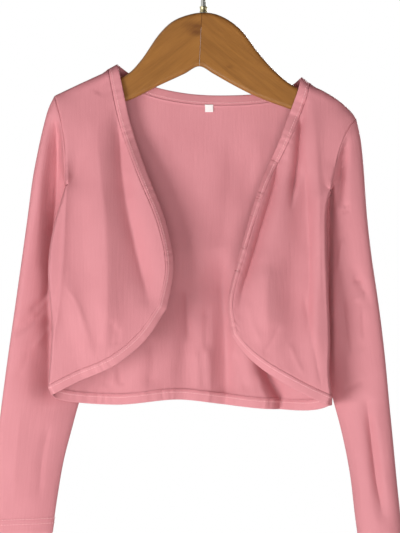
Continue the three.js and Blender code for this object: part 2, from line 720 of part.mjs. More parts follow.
// A folded band sewn along a panel's edge, continuing its surface
function band(edge, sections, startTurn, endTurn, flip) {
  const lengths = [0];
  for (let i = 1; i < edge.length; i += 1) {
    lengths.push(lengths[i - 1] + edge[i].point.distanceTo(edge[i - 1].point));
  }
  const total = lengths[lengths.length - 1];
  const flat = ({ x, z }) => new THREE.Vector3(x, 0, z).normalize();
  const grid = edge.map(({ point, normal }, i) => {
    const along = lengths[i] / total;
    const next = edge[Math.min(i + 1, edge.length - 1)].point;
    const tangent = next.clone().sub(edge[Math.max(i - 1, 0)].point).normalize();
    const square = flat({ x: -tangent.z, z: tangent.x });
    if (square.dot(flat(startTurn).add(flat(endTurn))) < 0) square.negate();
    const fromStart = THREE.MathUtils.smoothstep(along, 0, BAND_END_BLEND);
    const fromEnd = THREE.MathUtils.smoothstep(1 - along, 0, BAND_END_BLEND);
    const inside = Math.min(fromStart, fromEnd);
    const outwards = square.clone().multiplyScalar(inside)
      .addScaledVector(flat(startTurn), 1 - fromStart)
      .addScaledVector(flat(endTurn), 1 - fromEnd)
      .normalize();
    const seen = column(sections, 'along', along, 'seen');
    const turned = Math.sqrt(Math.max(BAND_WIDTH ** 2 - seen ** 2, 0)) * inside;
    const offSeam = normal.clone().cross(tangent).normalize();
    if (offSeam.dot(outwards) < 0) offSeam.negate();
    const atEnd = i === 0 || i === edge.length - 1;
    const gap = THREE.MathUtils.lerp(BAND_END_GAP, SEAM_GAP, inside);
    const near = point.clone().addScaledVector(atEnd ? outwards : offSeam, gap);
    const far = point.clone().addScaledVector(outwards, seen);
    far.y += turned;
    return [near, near.clone().lerp(far, 0.5), far];
  });
  const normals = gridNormals(grid, { flip });
  edge.forEach(({ normal }, i) => normals[i][0].copy(normal));
  normals[0].forEach((normal) => level(normal));
  normals[edge.length - 1].forEach((normal) => level(normal));
  return wall(grid, normals, BAND_WALL, { flip });
}

// The small woven size label, hanging from the neck seam inside the back
function sizeLabel(backPanel) {
  const seam = backPanel.neck.map(({ point }) => point);
  const next = seam.findIndex((point) => point.x > LABEL.x);
  const share = (LABEL.x - seam[next - 1].x) / (seam[next].x - seam[next - 1].x);
  const top = seam[next - 1].clone().lerp(seam[next], share);
  const beside = SHOULDER_COLUMNS + next;
  const behind = backPanel.grid.slice(0, 4).flatMap((row) => [row[beside - 1].y, row[beside].y]);
  const rest = Math.min(...behind);
  const geometry = new THREE.BoxGeometry(LABEL.width, LABEL.thickness, LABEL.height);
  const inFront = JERSEY_WALL / 2 + SEAM_GAP + LABEL.thickness / 2;
  geometry.translate(LABEL.x, rest - inFront, top.z - LABEL.below - LABEL.height / 2);
  return geometry;
}

// Geometry to a solid and back, for cutting
function toSolid(geometry) {
  const bare = geometry.clone();
  bare.deleteAttribute('normal');
  bare.deleteAttribute('uv');
  const merged = mergeVertices(bare, 1e-3);
  return new wasm.Manifold(new wasm.Mesh({
    numProp: 3,
    vertProperties: new Float32Array(merged.attributes.position.array),
    triVerts: new Uint32Array(merged.index.array),
  }));
}

function fromSolid(solid) {
  const mesh = solid.getMesh();
  const geometry = new THREE.BufferGeometry();
  geometry.setAttribute('position', new THREE.BufferAttribute(mesh.vertProperties, 3));
  geometry.setIndex(new THREE.BufferAttribute(mesh.triVerts, 1));
  geometry.computeVertexNormals();
  return geometry;
}

// The hanger's outline, smooth through its edge points, with rounded arm ends
function hangerOutline() {
  const around = [
    ...hangerTop.right,
    ...hangerBottom.right,
    ...hangerBottom.left.slice().reverse(),
    ...hangerTop.left.slice().reverse(),
  ].map(({ x, z }) => new THREE.Vector3(x, z, 0));
  const smooth = new THREE.CatmullRomCurve3(around, true, 'centripetal');
  const spaced = smooth.getSpacedPoints(HANGER_OUTLINE_STEPS);
  return new THREE.Shape(spaced.slice(1).map(({ x, y }) => new THREE.Vector2(x, y)));
}

// The two glued halves of the hanger, with the hook's hole drilled down at the joint
function hangerHalves() {
  const plate = new THREE.ExtrudeGeometry(hangerOutline(), {
    depth: HANGER_THICKNESS - 2 * HANGER_EDGE_RADIUS,
    bevelEnabled: true,
    bevelThickness: HANGER_EDGE_RADIUS,
    bevelSize: HANGER_EDGE_RADIUS,
    bevelOffset: -HANGER_EDGE_RADIUS,
    bevelSegments: 3,
  });
  plate.translate(0, 0, -(HANGER_THICKNESS - 2 * HANGER_EDGE_RADIUS) / 2);
  plate.rotateX(Math.PI / 2);
  const holeRadius = HOOK_WIRE / 2 + SEAM_GAP;
  const hole = new THREE.CylinderGeometry(holeRadius, holeRadius, 2 * HOOK_HOLE_DEPTH, 16);
  hole.rotateX(Math.PI / 2);
  hole.translate(0, 0, WOOD_TOP);
  const lean = Math.atan2(GLUE_LINE.bottomX - GLUE_LINE.topX, WOOD_TOP - GLUE_LINE.bottomZ);
  const halfSpace = (direction) => {
    const box = new THREE.BoxGeometry(HALF_SPACE, HALF_SPACE, HALF_SPACE);
    box.translate(direction * (HALF_SPACE + SEAM_GAP) / 2, 0, 0);
    box.rotateY(-lean);
    box.translate(GLUE_LINE.topX, 0, WOOD_TOP);
    return toSolid(box);
  };
  const drilled = toSolid(plate).subtract(toSolid(hole));
  return {
    left: fromSolid(drilled.intersect(halfSpace(-1))),
    right: fromSolid(drilled.intersect(halfSpace(1))),
  };
}

// The steel hook: a straight shank in the wood, then a question mark of wire over the rail
function hook() {
  const radius = HOOK_INNER_RADIUS + HOOK_WIRE / 2;
  const startAngle = THREE.MathUtils.degToRad(HOOK_LOOP.from);
  const endAngle = THREE.MathUtils.degToRad(HOOK_LOOP.to);
  const onLoop = (angle) => {
    return new THREE.Vector3(radius * Math.cos(angle), 0, radius * Math.sin(angle) - HOOK_INNER_RADIUS);
  };
  const loopStart = onLoop(startAngle);
  const loopWay = new THREE.Vector3(-Math.sin(startAngle), 0, Math.cos(startAngle));
  const shankFoot = new THREE.Vector3(0, 0, WOOD_TOP - HOOK_HOLE_DEPTH + 2 * SEAM_GAP);
  const shankTop = new THREE.Vector3(0, 0, WOOD_TOP + COLLAR_HEIGHT + HOOK_LOOP.straight);
  const path = new THREE.CurvePath();
  path.add(new THREE.LineCurve3(shankFoot, shankTop));
  path.add(new THREE.CubicBezierCurve3(
    shankTop,
    shankTop.clone().add(new THREE.Vector3(0, 0, HOOK_LOOP.ease)),
    loopStart.clone().addScaledVector(loopWay, -HOOK_LOOP.ease),
    loopStart,
  ));
  const arcPoints = [];
  for (let step = 0; step <= ROUND_STEPS; step += 1) {
    arcPoints.push(onLoop(THREE.MathUtils.lerp(startAngle, endAngle, step / ROUND_STEPS)));
  }
  path.add(new THREE.CatmullRomCurve3(arcPoints));
  const section = new THREE.Shape();
  section.absarc(0, 0, HOOK_WIRE / 2, 0, 2 * Math.PI);
  return new THREE.ExtrudeGeometry(section, {
    steps: HOOK_STEPS,
    extrudePath: path,
    curveSegments: 5,
    bevelEnabled: false,
  });
}

// The pressed collar round the foot of the hook
function collar() {
  const inner = HOOK_WIRE / 2 + SEAM_GAP;
  const outer = COLLAR_DIAMETER / 2;
  const foot = WOOD_TOP + SEAM_GAP;
  const profile = [
    new THREE.Vector2(inner, foot),
    new THREE.Vector2(outer, foot),
    new THREE.Vector2(outer, foot + COLLAR_HEIGHT - COLLAR_CHAMFER),
    new THREE.Vector2(outer - COLLAR_CHAMFER, foot + COLLAR_HEIGHT),
    new THREE.Vector2(inner, foot + COLLAR_HEIGHT),
    new THREE.Vector2(inner, foot),
  ];
  const geometry = new THREE.LatheGeometry(profile, ROUND_STEPS);
  geometry.rotateX(Math.PI / 2);
  return geometry;
}

function material(colour, roughness, metalness = 0) {
  return new THREE.MeshStandardMaterial({ color: colour, roughness, metalness });
}

const jersey = material(colours.jersey, 0.75);
const bandJersey = material(colours.jersey, 0.78);
const wood = material(colours.wood, 0.5);
const steel = material(colours.steel, 0.28, 1);
const brass = material(colours.brass, 0.4, 1);
const woven = material(colours.label, 0.85);

const jacket = new THREE.Group();
const onHanger = new THREE.Group();
const model = new THREE.Group();
model.add(jacket, onHanger);

function addPiece(group, name, geometry, finish) {
  const mesh = new THREE.Mesh(geometry, finish);
  mesh.name = name;
  group.add(mesh);
}

const leftFront = front('left');
const rightFront = front('right');
const backPanel = back();
addPiece(jacket, 'front_left', leftFront.geometry, jersey);
addPiece(jacket, 'front_right', rightFront.geometry, jersey);
addPiece(jacket, 'back', backPanel.geometry, jersey);
addPiece(jacket, 'sleeve_left', sleeve('left'), jersey);
addPiece(jacket, 'sleeve_right', sleeve('right'), jersey);

const { shoulderLeft, shoulderRight, sideLeft, sideRight } = bandEnds;
const leftBand = band(leftFront.edge, bandSections.left, shoulderLeft, sideLeft, false);
const rightBand = band(rightFront.edge, bandSections.right, shoulderRight, sideRight, true);
const neckBand = band(backPanel.neck, bandSections.neck, shoulderLeft, shoulderRight, true);
const hemBand = band(backPanel.hem, bandSections.hem, sideLeft, sideRight, false);
addPiece(jacket, 'band_front_left', leftBand, bandJersey);
addPiece(jacket, 'band_front_right', rightBand, bandJersey);
addPiece(jacket, 'band_neck', neckBand, bandJersey);
addPiece(jacket, 'band_hem', hemBand, bandJersey);
addPiece(jacket, 'size_label', sizeLabel(backPanel), woven);

const halves = hangerHalves();
addPiece(onHanger, 'hanger_arm_left', halves.left, wood);
addPiece(onHanger, 'hanger_arm_right', halves.right, wood);
addPiece(onHanger, 'hook', hook(), steel);
addPiece(onHanger, 'hook_collar', collar(), brass);

export default model;
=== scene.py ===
# %% [markdown]
# # A child's jersey jacket on a wooden hanger
# The object is a cropped jacket with an open front and long sleeves. It is sewn from thin, soft
# jersey, its open edge is bound with one folded band, and it hangs on a small wooden hanger.
# The solid model gives the frame: every cloth piece here follows the same outlines as its solid,
# and adds what a solid doesn't have, such as creases, puckers, stitches and the knit itself.

import math

import bmesh
import bpy
import numpy as np
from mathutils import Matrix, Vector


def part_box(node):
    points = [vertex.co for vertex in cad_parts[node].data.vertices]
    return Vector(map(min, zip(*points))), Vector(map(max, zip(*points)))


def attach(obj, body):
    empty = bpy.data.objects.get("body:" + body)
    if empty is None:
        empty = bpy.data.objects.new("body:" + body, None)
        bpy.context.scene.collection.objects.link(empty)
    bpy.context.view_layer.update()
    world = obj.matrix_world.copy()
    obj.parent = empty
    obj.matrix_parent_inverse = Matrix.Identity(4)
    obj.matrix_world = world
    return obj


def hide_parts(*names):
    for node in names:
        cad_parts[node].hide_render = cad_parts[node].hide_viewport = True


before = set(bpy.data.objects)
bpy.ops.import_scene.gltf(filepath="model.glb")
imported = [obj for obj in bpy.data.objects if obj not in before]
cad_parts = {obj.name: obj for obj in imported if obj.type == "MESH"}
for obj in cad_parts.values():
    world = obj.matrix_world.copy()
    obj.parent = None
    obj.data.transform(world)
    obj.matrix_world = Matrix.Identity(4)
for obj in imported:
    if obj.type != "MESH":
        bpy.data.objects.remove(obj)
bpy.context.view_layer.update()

# %% [markdown]
# ## The view
# The photograph is a level product shot, 400 by 533 pixels, taken from straight ahead. One of its
# pixels covers 0.924 mm of the jacket. A long lens three metres away draws the jacket nearly flat,
# as the photograph does. `seen` turns a place in the photograph into a place on the hanger's
# middle plane, so that creases can be laid where they are seen.

# %% Camera
PHOTO_WIDTH, PHOTO_HEIGHT = 400, 533
PIXEL = 0.924
WOOD_TOP_PX, WOOD_TOP_PY = 203.6, 12.6
WOOD_TOP = -58
CAMERA_DISTANCE = 3000
SENSOR_WIDTH = 36


def seen(px, py):
    """Place on the hanger's middle plane, in mm, of a pixel of the photograph."""
    return (px - WOOD_TOP_PX) * PIXEL, WOOD_TOP - (py - WOOD_TOP_PY) * PIXEL


def in_scene(name, data):
    """A new object in the scene that holds a camera, a lamp or a mesh."""
    holder = bpy.data.objects.new(name, data)
    bpy.context.collection.objects.link(holder)
    return holder


middle_x, middle_z = seen(PHOTO_WIDTH / 2, PHOTO_HEIGHT / 2)
camera_data = bpy.data.cameras.new("camera")
camera_data.sensor_fit = "HORIZONTAL"
camera_data.sensor_width = SENSOR_WIDTH
camera_data.lens = SENSOR_WIDTH * CAMERA_DISTANCE / (PHOTO_WIDTH * PIXEL)
camera_data.clip_end = 60
camera = in_scene("camera", camera_data)
camera.location = (middle_x / 1000, -CAMERA_DISTANCE / 1000, middle_z / 1000)
camera.rotation_euler = (math.radians(90), 0, 0)
bpy.context.scene.camera = camera
print("lens, mm:", round(camera_data.lens, 1))

# %% [markdown]
# ## Nodes
# The surround and every material are made of nodes joined by links. They could be drawn in
# Blender's editor, but a few short functions that add a node, set it and link it keep each recipe
# readable from top to bottom.

# %% Helpers for nodes
def plug(tree, node, inputs):
    """Sets a node's inputs; each is a value or another node's output."""
    for name, value in inputs.items():
        if isinstance(value, bpy.types.NodeSocket):
            tree.links.new(value, node.inputs[name])
        else:
            node.inputs[name].default_value = value


def add(tree, kind, inputs, **settings):
    """A node with its settings and inputs."""
    node = tree.nodes.new("ShaderNode" + kind)
    for name, value in settings.items():
        setattr(node, name, value)
    plug(tree, node, inputs)
    return node


def calc(tree, operation, first, second=0.0, third=0.0):
    """One sum of values or outputs."""
    return add(tree, "Math", {0: first, 1: second, 2: third}, operation=operation).outputs[0]


def ranged(tree, value, start, end):
    """A value carried from one range, (low, high), into another."""
    ranges = {"From Min": start[0], "From Max": start[1], "To Min": end[0], "To Max": end[1]}
    return add(tree, "MapRange", {"Value": value} | ranges).outputs[0]


def noise(tree, place, scale, **more):
    """Soft noise between 0 and 1, finer the larger its scale."""
    return add(tree, "TexNoise", {"Vector": place, "Scale": scale} | more).outputs["Fac"]


def parts_of(tree, place):
    """The X, Y and Z of a place."""
    return add(tree, "SeparateXYZ", {0: place}).outputs


def blend_colours(tree, share, first, second, how="MIX"):
    """Two colours mixed by a share."""
    colours = {0: share, 6: first, 7: second}
    return add(tree, "Mix", colours, data_type="RGBA", blend_type=how).outputs[2]


# %% [markdown]
# ## Light and surroundings
# Jersey shows its folds by changes of tone. One lamp stands far to the left, as in the photograph,
# where every fold is bright on its left flank and dark on its right one. A broad lamp near the
# camera softens the shadow that the fronts throw on the back; it is left out of reflections, where
# it would veil the lacquer. A weak lamp on the right, one behind and the surround fill in the rest.
# The surround is a little rosy, because light that has bounced about in rosy folds is, and brighter
# from below, because the shoulders are darker than the hem. The steel and the lacquer mirror a
# surround of their own, bright on one side and dark on the other.

# %% Lamps
CHEST = (0, 0, -0.3)


def soft_lamp(name, place, size, power):
    """A square soft lamp at a place, turned to the chest, all in metres."""
    lamp = bpy.data.lights.new(name, "AREA")
    lamp.shape = "SQUARE"
    lamp.size = size
    lamp.energy = power
    holder = in_scene(name, lamp)
    holder.location = place
    way = [aim - start for aim, start in zip(CHEST, place)]
    turn = math.atan2(way[0], -way[1])
    fall = math.atan2(math.hypot(way[0], way[1]), -way[2])
    holder.rotation_euler = (fall, 0, turn + math.pi)
    return holder


soft_lamp("lamp_left", (-1.15, -1.3, -0.8), 0.8, 24)
lamp_front = soft_lamp("lamp_front", (0.1, -1.85, -0.8), 1.0, 15)
lamp_front.visible_glossy = False
soft_lamp("lamp_right", (1.5, -0.7, -0.3), 0.6, 3)
soft_lamp("lamp_back", (0.7, 1.8, 0.2), 0.8, 26)
print("lamps:", len(bpy.data.lights))

# %% Surround
WHITE = (1, 1, 1, 1)
ROSY = (1, 0.65, 0.65, 1)
FILL_FROM_BELOW, FILL_FROM_ABOVE = 0.42, 0.12
# Columns: place from the left to the right of the mirrored surround, its tone
MIRRORED = [(0.26, 0.92), (0.33, 0.16), (0.55, 0.11), (0.85, 0.15)]
surround = bpy.data.worlds.new("surround")
surround.use_nodes = True
sky_tree = surround.node_tree
sky_tree.nodes.clear()
rays = add(sky_tree, "LightPath", {}).outputs
sky_place = parts_of(sky_tree, add(sky_tree, "TexCoord", {}).outputs["Generated"])


def surround_light(colour, strength=1.0):
    """One brightness of the surround."""
    return add(sky_tree, "Background", {"Color": colour, "Strength": strength}).outputs[0]


def choose_by(ray, otherwise, chosen):
    """The second brightness for one kind of ray, the first for all others."""
    return add(sky_tree, "MixShader", {0: rays[ray], 1: otherwise, 2: chosen}).outputs[0]


mirrored = add(sky_tree, "ValToRGB", {0: ranged(sky_tree, sky_place["X"], (-1, 1), (0, 1))})
mirrored.color_ramp.elements[0].color = (0.7, 0.7, 0.69, 1)
mirrored.color_ramp.elements[1].color = (0.3, 0.3, 0.29, 1)
for position, tone in MIRRORED:
    mirrored.color_ramp.elements.new(position).color = (tone, tone, tone * 0.96, 1)
fill = ranged(sky_tree, sky_place["Z"], (-1, 1), (FILL_FROM_BELOW, FILL_FROM_ABOVE))
on_cloth = choose_by("Is Glossy Ray", surround_light(ROSY, fill), surround_light(mirrored.outputs[0]))
shown = choose_by("Is Camera Ray", on_cloth, surround_light(WHITE))
add(sky_tree, "OutputWorld", {"Surface": shown})
bpy.context.scene.world = surround
bpy.context.scene.view_settings.view_transform = "Standard"

# %% [markdown]
# ## Materials
# Jersey is one yarn looped into columns of small Vs, the wales. Two wave-like sums give the
# height of the two legs of each V, measured in the cloth's own width and length, so that the knit
# runs true on every piece. A painted texture would do it too, but it would blur up close.
# A little sheen at grazing angles stands for the fine fibres, and the knit's low places are painted darker as
# shade.

# %% Helpers for materials
def new_material(name):
    """An empty material with its shader: (material, node tree, shader)."""
    material = bpy.data.materials.new(name)
    material.use_nodes = True
    tree = material.node_tree
    tree.nodes.clear()
    shader = add(tree, "BsdfPrincipled", {})
    add(tree, "OutputMaterial", {"Surface": shader.outputs["BSDF"]})
    return material, tree, shader


def own_place(tree):
    """Place on the object, in metres."""
    return add(tree, "TexCoord", {}).outputs["Object"]


def cloth_place(tree):
    """Place on the cloth by its own width and length, in metres."""
    return add(tree, "UVMap", {}).outputs["UV"]


def stretched(tree, place, scale):
    """A place whose noise is drawn out where its scale is small."""
    return add(tree, "Mapping", {"Vector": place, "Scale": scale}).outputs[0]


def relief(tree, height, strength, distance, **under):
    """A bump whose height is given in metres, over another one where it is given."""
    inputs = {"Height": height, "Strength": strength, "Distance": distance}
    return add(tree, "Bump", inputs | under).outputs["Normal"]


def waves(tree, place, spacing):
    """A wave from -1 to 1 along one direction of the cloth, with its spacing in metres."""
    return calc(tree, "SINE", calc(tree, "MULTIPLY", place, 2 * math.pi / spacing))


# %% Jersey
WALE = 0.00072
COURSE = 0.00058
LEG_SLANT = 1.3


def jersey_material(name, rose, deep_rose, bump, streaks):
    """Fine jersey in two near shades of one colour, faint lengthwise streaks and painted shade in its knit's
    hollows.
    """
    material, tree, shader = new_material(name)
    flat_place = cloth_place(tree)
    own = own_place(tree)
    wale = calc(tree, "DIVIDE", parts_of(tree, flat_place)["X"], WALE)
    course = calc(tree, "DIVIDE", parts_of(tree, flat_place)["Y"], COURSE)
    slanted = calc(tree, "MULTIPLY_ADD", calc(tree, "PINGPONG", wale, 0.5), LEG_SLANT, course)
    legs = calc(tree, "MULTIPLY_ADD", waves(tree, slanted, 1), 0.25, 0.7)
    knit = calc(tree, "MULTIPLY", calc(tree, "ABSOLUTE", waves(tree, wale, 1)), legs)
    cloudy = blend_colours(tree, noise(tree, own, 28.0, Detail=3.0), deep_rose, rose)
    # Painted shade: the colour is darker where the knit lies low, in the hollows between its loops.
    painted_knit_shade = calc(tree, "MULTIPLY_ADD", knit, 0.16, 0.9)
    streaked = relief(tree, noise(tree, stretched(tree, flat_place, (1, 0.1, 1)), 330.0), streaks, 0.0005)
    height = calc(tree, "MULTIPLY_ADD", noise(tree, own, 1500.0), 0.5, knit)
    plug(tree, shader, {
        "Base Color": blend_colours(tree, 1.0, cloudy, painted_knit_shade, "MULTIPLY"),
        "Normal": relief(tree, height, bump, 0.00012, Normal=streaked),
        "Roughness": 0.6,
        "Specular IOR Level": 0.2,
        "Sheen Weight": 0.06,
        "Sheen Roughness": 0.38,
        "Sheen Tint": (1.0, 0.74, 0.76, 1),
    })
    return material


jersey = jersey_material("rose_jersey", (0.64, 0.272, 0.297, 1), (0.585, 0.235, 0.26, 1), 0.35, 0.5)
band_jersey = jersey_material(
    "rose_band_jersey", (0.66, 0.285, 0.31, 1), (0.605, 0.248, 0.272, 1), 0.5, 0.05)


# %% Thread and label tape
WARP = 0.0004
WEFT = 0.0003


def thread_material():
    """Twisted sewing thread, paler than the cloth and a little shiny."""
    material, tree, shader = new_material("rose_thread")
    tone = noise(tree, own_place(tree), 900.0)
    plug(tree, shader, {
        "Base Color": blend_colours(tree, tone, (0.76, 0.38, 0.40, 1), (0.90, 0.55, 0.56, 1)),
        "Roughness": 0.5,
        "Sheen Weight": 0.2,
    })
    return material


def tape_material():
    """White tape in plain weave, with painted shade where its threads dip."""
    material, tree, shader = new_material("label_tape")
    parts = parts_of(tree, cloth_place(tree))
    weave = calc(tree, "MULTIPLY", waves(tree, parts["X"], WARP), waves(tree, parts["Y"], WEFT))
    # Painted shade: the tape is darker where its threads dip under each other.
    share = calc(tree, "MULTIPLY_ADD", weave, 0.3, 0.5)
    plug(tree, shader, {
        "Base Color": blend_colours(tree, share, (0.84, 0.83, 0.81, 1), (0.95, 0.94, 0.92, 1)),
        "Normal": relief(tree, weave, 0.4, 0.00006),
        "Roughness": 0.7,
    })
    return material


thread = thread_material()
tape = tape_material()
print("materials so far:", [m.name for m in bpy.data.materials])

# %% [markdown]
# ## Floor
# A pale floor lies well below the sleeves and the low lamps, so it takes no shadow that the
# photograph doesn't show. A single square face is enough for it.

# %% Floor
FLOOR = -1.35
FLOOR_REACH = 1.4


def floor_material():
    """Pale floor paint, very slightly cloudy."""
    material, tree, shader = new_material("pale_floor")
    tone = noise(tree, own_place(tree), 3.0)
    plug(tree, shader, {
        "Base Color": blend_colours(tree, tone, (0.80, 0.79, 0.78, 1), (0.84, 0.83, 0.82, 1)),
        "Roughness": 0.8,
    })
    return material


floor_mesh = bpy.data.meshes.new("floor")
floor_corners = [(x * FLOOR_REACH, y * FLOOR_REACH, FLOOR) for x, y in ((-1, -1), (1, -1), (1, 1), (-1, 1))]
floor_mesh.from_pydata(floor_corners, [], [(0, 1, 2, 3)])
floor_mesh.materials.append(floor_material())
floor = in_scene("floor", floor_mesh)

# %% [markdown]
# ## Outlines
# A pattern cutter draws a garment from a few measured points and smooth lines between them.
# The same is done here: each outline is a short table of points, seen from the front in
# millimetres, and `smooth_line` passes a smooth line through them. `along` finds places on such a
# line by their share of its length.

# %% Lines and tables
def between(t, start, leave, end, arrive):
    """Smooth course from start to end, with the slopes at which it leaves and arrives."""
    return ((2 * t**3 - 3 * t**2 + 1) * start + (t**3 - 2 * t**2 + t) * leave
            + (3 * t**2 - 2 * t**3) * end + (t**3 - t**2) * arrive)


def smooth_line(points, closed=False, fineness=24):
    """A smooth line through given points."""
    points = np.asarray(points, float)
    if closed:
        padded = np.vstack([points[-1], points, points[:2]])
    else:
        padded = np.vstack([2 * points[0] - points[1], points, 2 * points[-1] - points[-2]])
    gaps = np.sqrt(np.maximum(np.linalg.norm(np.diff(padded, axis=0), axis=1), 1e-6))
    t = np.arange(fineness)[:, None] / fineness
    line = []
    for number in range(len(padded) - 3):
        before, start, end, after = padded[number: number + 4]
        first, second, third = gaps[number: number + 3]
        leave = (start - before) / first - (end - before) / (first + second) + (end - start) / second
        arrive = (end - start) / second - (after - start) / (second + third) + (after - end) / third
        line.append(between(t, start, second * leave, end, second * arrive))
    return np.vstack([*line, points[0] if closed else points[-1]])


def lengths_of(line):
    """Length of a line up to each of its points."""
    return np.concatenate([[0], np.cumsum(np.linalg.norm(np.diff(line, axis=0), axis=1))])


def at_run(line, length, run):
    """Places on a line, or values beside it, at runs along its length."""
    return np.stack([np.interp(run, length, line[:, axis]) for axis in range(line.shape[1])], axis=-1)


def along(line, share):
    """Places on a line by their share of its length."""
    length = lengths_of(line)
    return at_run(line, length, np.asarray(share) * length[-1])


def lookup(table, at, value):
    """Values of a table's column between its rows, joined smoothly; the first column is the key."""
    keys = np.array([row[0] for row in table], float)
    values = np.array([row[value] for row in table], float)
    at = np.asarray(at, float)
    if keys[-1] < keys[0]:
        keys, at = -keys, -at
    last = len(keys) - 1
    following = np.clip(np.searchsorted(keys, at), 1, last)
    low = np.maximum(following - 2, 0)
    high = np.minimum(following + 1, last)
    span = keys[following] - keys[following - 1]
    t = np.clip((at - keys[following - 1]) / span, 0, 1)
    leave = (values[following] - values[low]) / (keys[following] - keys[low]) * span
    arrive = (values[high] - values[following - 1]) / (keys[high] - keys[following - 1]) * span
    return between(t, values[following - 1], leave, values[following], arrive)


def step_up(value, low, high):
    """Rises smoothly from 0 at low to 1 at high."""
    t = np.clip((value - low) / (high - low), 0, 1)
    return t * t * (3 - 2 * t)


def rolled(distance, radius):
    """Rises from 0 to 1 as a quarter of a circle does."""
    share = np.clip(distance / radius, 0, 1)
    return np.sqrt(1 - (1 - share) ** 2)


def unit(vectors):
    """Vectors of length one."""
    return vectors / np.maximum(np.linalg.norm(vectors, axis=-1, keepdims=True), 1e-9)


def upright(points, depth=0.0):
    """Outline points (x, z) as places (x, depth, z)."""
    depth = np.broadcast_to(depth, points.shape[:-1])
    return np.stack([points[..., 0], depth, points[..., 1]], axis=-1)


# %% Outlines of the jacket: (x, z) in mm, from the top down or from the side to the middle
ARMHOLE = {
    "left": smooth_line([(-137.5, -135.4), (-134.2, -147), (-130.4, -163), (-128, -184), (-127.1, -217.3)]),
    "right": smooth_line([(140.6, -156.3), (135, -163.5), (129.6, -174), (123.5, -192), (117.7, -221.9)]),
}
SIDE_SEAM = {
    "left": smooth_line([(-127.1, -217.3), (-131.5, -233), (-138.5, -258), (-143, -294), (-139.5, -352),
                         (-142.9, -402)]),
    "right": smooth_line([(117.7, -221.9), (114, -238), (113.3, -278), (116.2, -362), (115.6, -390),
                          (117.7, -411.3)]),
}
SHOULDER_POINTS = {
    "left": [(-137.5, -135.4), (-130.4, -131.6), (-105.6, -119.2), (-87.4, -110.9)],
    "right": [(140.6, -156.3), (136, -149.6), (125.1, -139.2), (109.8, -129.4), (97.4, -124)],
}
SHOULDER = {side: smooth_line(points) for side, points in SHOULDER_POINTS.items()}
OPENING = {
    "left": smooth_line([(-87.4, -110.9), (-84, -129), (-76.5, -162), (-62, -203), (-41, -255.5),
                         (-34.4, -293), (-41, -328)]),
    "right": smooth_line([(97.4, -124), (94.2, -138), (79.2, -174.8), (57.7, -219), (38, -279),
                          (26.2, -326), (30.2, -353.6)]),
}
BOTTOM = {
    "left": smooth_line([(-142.9, -402), (-118, -389.5), (-85, -375), (-60, -354.5), (-41, -328)]),
    "right": smooth_line([(117.7, -411.3), (91.8, -399), (56, -378.5), (40, -365.4), (30.2, -353.6)]),
}
NECK = smooth_line([(-87.4, -110.9), (-78.5, -118.4), (-56, -132.2), (-20, -141), (22, -143.4),
                    (62, -140.2), (86.5, -132.6), (97.4, -124)])
BACK_HEM = smooth_line([(-142.9, -402), (-130, -407.4), (-82, -411.8), (-24, -407.2), (24, -412.4),
                        (62, -416), (102, -416.4), (117.7, -411.3)])

# The hanger's lower edge from each end to the middle, and its thickness, which the cloth rests on
HANGER_FOOT = {
    "left": [(-122, -140.8), (-104, -144), (-71.2, -139.7), (-40.1, -124.8), (-18, -114.6), (-4, -107.6)],
    "right": [(122, -153), (104, -154.4), (80.4, -147.4), (48, -135.2), (24, -123), (9, -114.4)],
}
HANGER_THICKNESS = 11

# Columns: z, depth of the front, depth of the back, side seam on the left, side seam on the right
BODY = [
    (-106, 9, 9, 0, 0),
    (-135, 10, 9.5, 0, 0),
    (-175, 14, 11, 0, 0),
    (-222, 18, 13, 0, 0),
    (-270, 22, 14, -6, -4),
    (-340, 25, 16, -10, -5),
    (-425, 27, 18, -11, -5),
]
print("opening seams, mm:", {side: round(lengths_of(line)[-1]) for side, line in OPENING.items()})

# %% [markdown]
# ## Folds and creases
# Cloth that hangs falls into a few broad folds, and thin creases run over them. The broad folds
# are those of the solids: straight soft ridges and troughs. The creases are laid along the lines
# where the photograph shows them, and similar ones on the sides it doesn't show. A crease has its
# own width on either side, because one flank is usually steeper than the other.
# Cloth simulation could fold the jacket too, but not where these folds are.

# %% Broad folds
# Columns: top x, top z, foot x, foot z, half width, push outwards, in mm
BROAD = {
    "front_left": [
        (-98, -150, -91, -250, 16, 3), (-91, -250, -86, -375, 14, 3.5), (-79, -150, -72, -220, 8, -3.5),
        (-72, -220, -50, -320, 9, -4), (-126, -300, -104, -380, 8, 2), (-118, -180, -124, -300, 12, -2),
    ],
    "front_right": [
        (92, -143, 85, -212, 6, -4), (90, -215, 88, -290, 13, -5), (104, -145, 104, -277, 8, 2.5),
        (72, -196, 33, -335, 7, -3), (55, -290, 60, -365, 14, 4.5), (82, -290, 84, -375, 11, -4),
        (103, -290, 104, -395, 8, 3),
    ],
    "back": [
        (-110, -200, -95, -410, 18, 5), (-55, -330, -58, -412, 16, -4), (-14, -320, -20, -412, 9, 4),
        (4, -345, 6, -412, 8, -3), (50, -375, 66, -420, 9, 4), (30, -180, 78, -330, 16, 3),
        (90, -330, 92, -420, 12, -3),
    ],
    "sleeve_left": [
        (-138.6, -163, -147, -288, 6, -5), (-143, -318, -158, -338, 5, -2.5), (-178, -352, -152, -337, 5, -2),
        (-154, -365, -150, -415, 9, -3),
    ],
    "sleeve_left_behind": [
        (-150, -190, -140, -330, 8, -4), (-140, -360, -170, -400, 7, -3), (-160, -430, -168, -520, 7, -2.5),
    ],
    "sleeve_right": [
        (130.7, -176, 124, -232, 5, -4), (140, -296, 152, -325, 5, -2.5), (145, -330, 147, -365, 5, -2),
        (152, -420, 165, -521, 6, -4),
    ],
    "sleeve_right_behind": [
        (142, -200, 130, -330, 8, -4), (128, -360, 158, -395, 7, -3), (150, -420, 160, -520, 7, -3),
    ],
}

FOLD_ENDS = 0.45


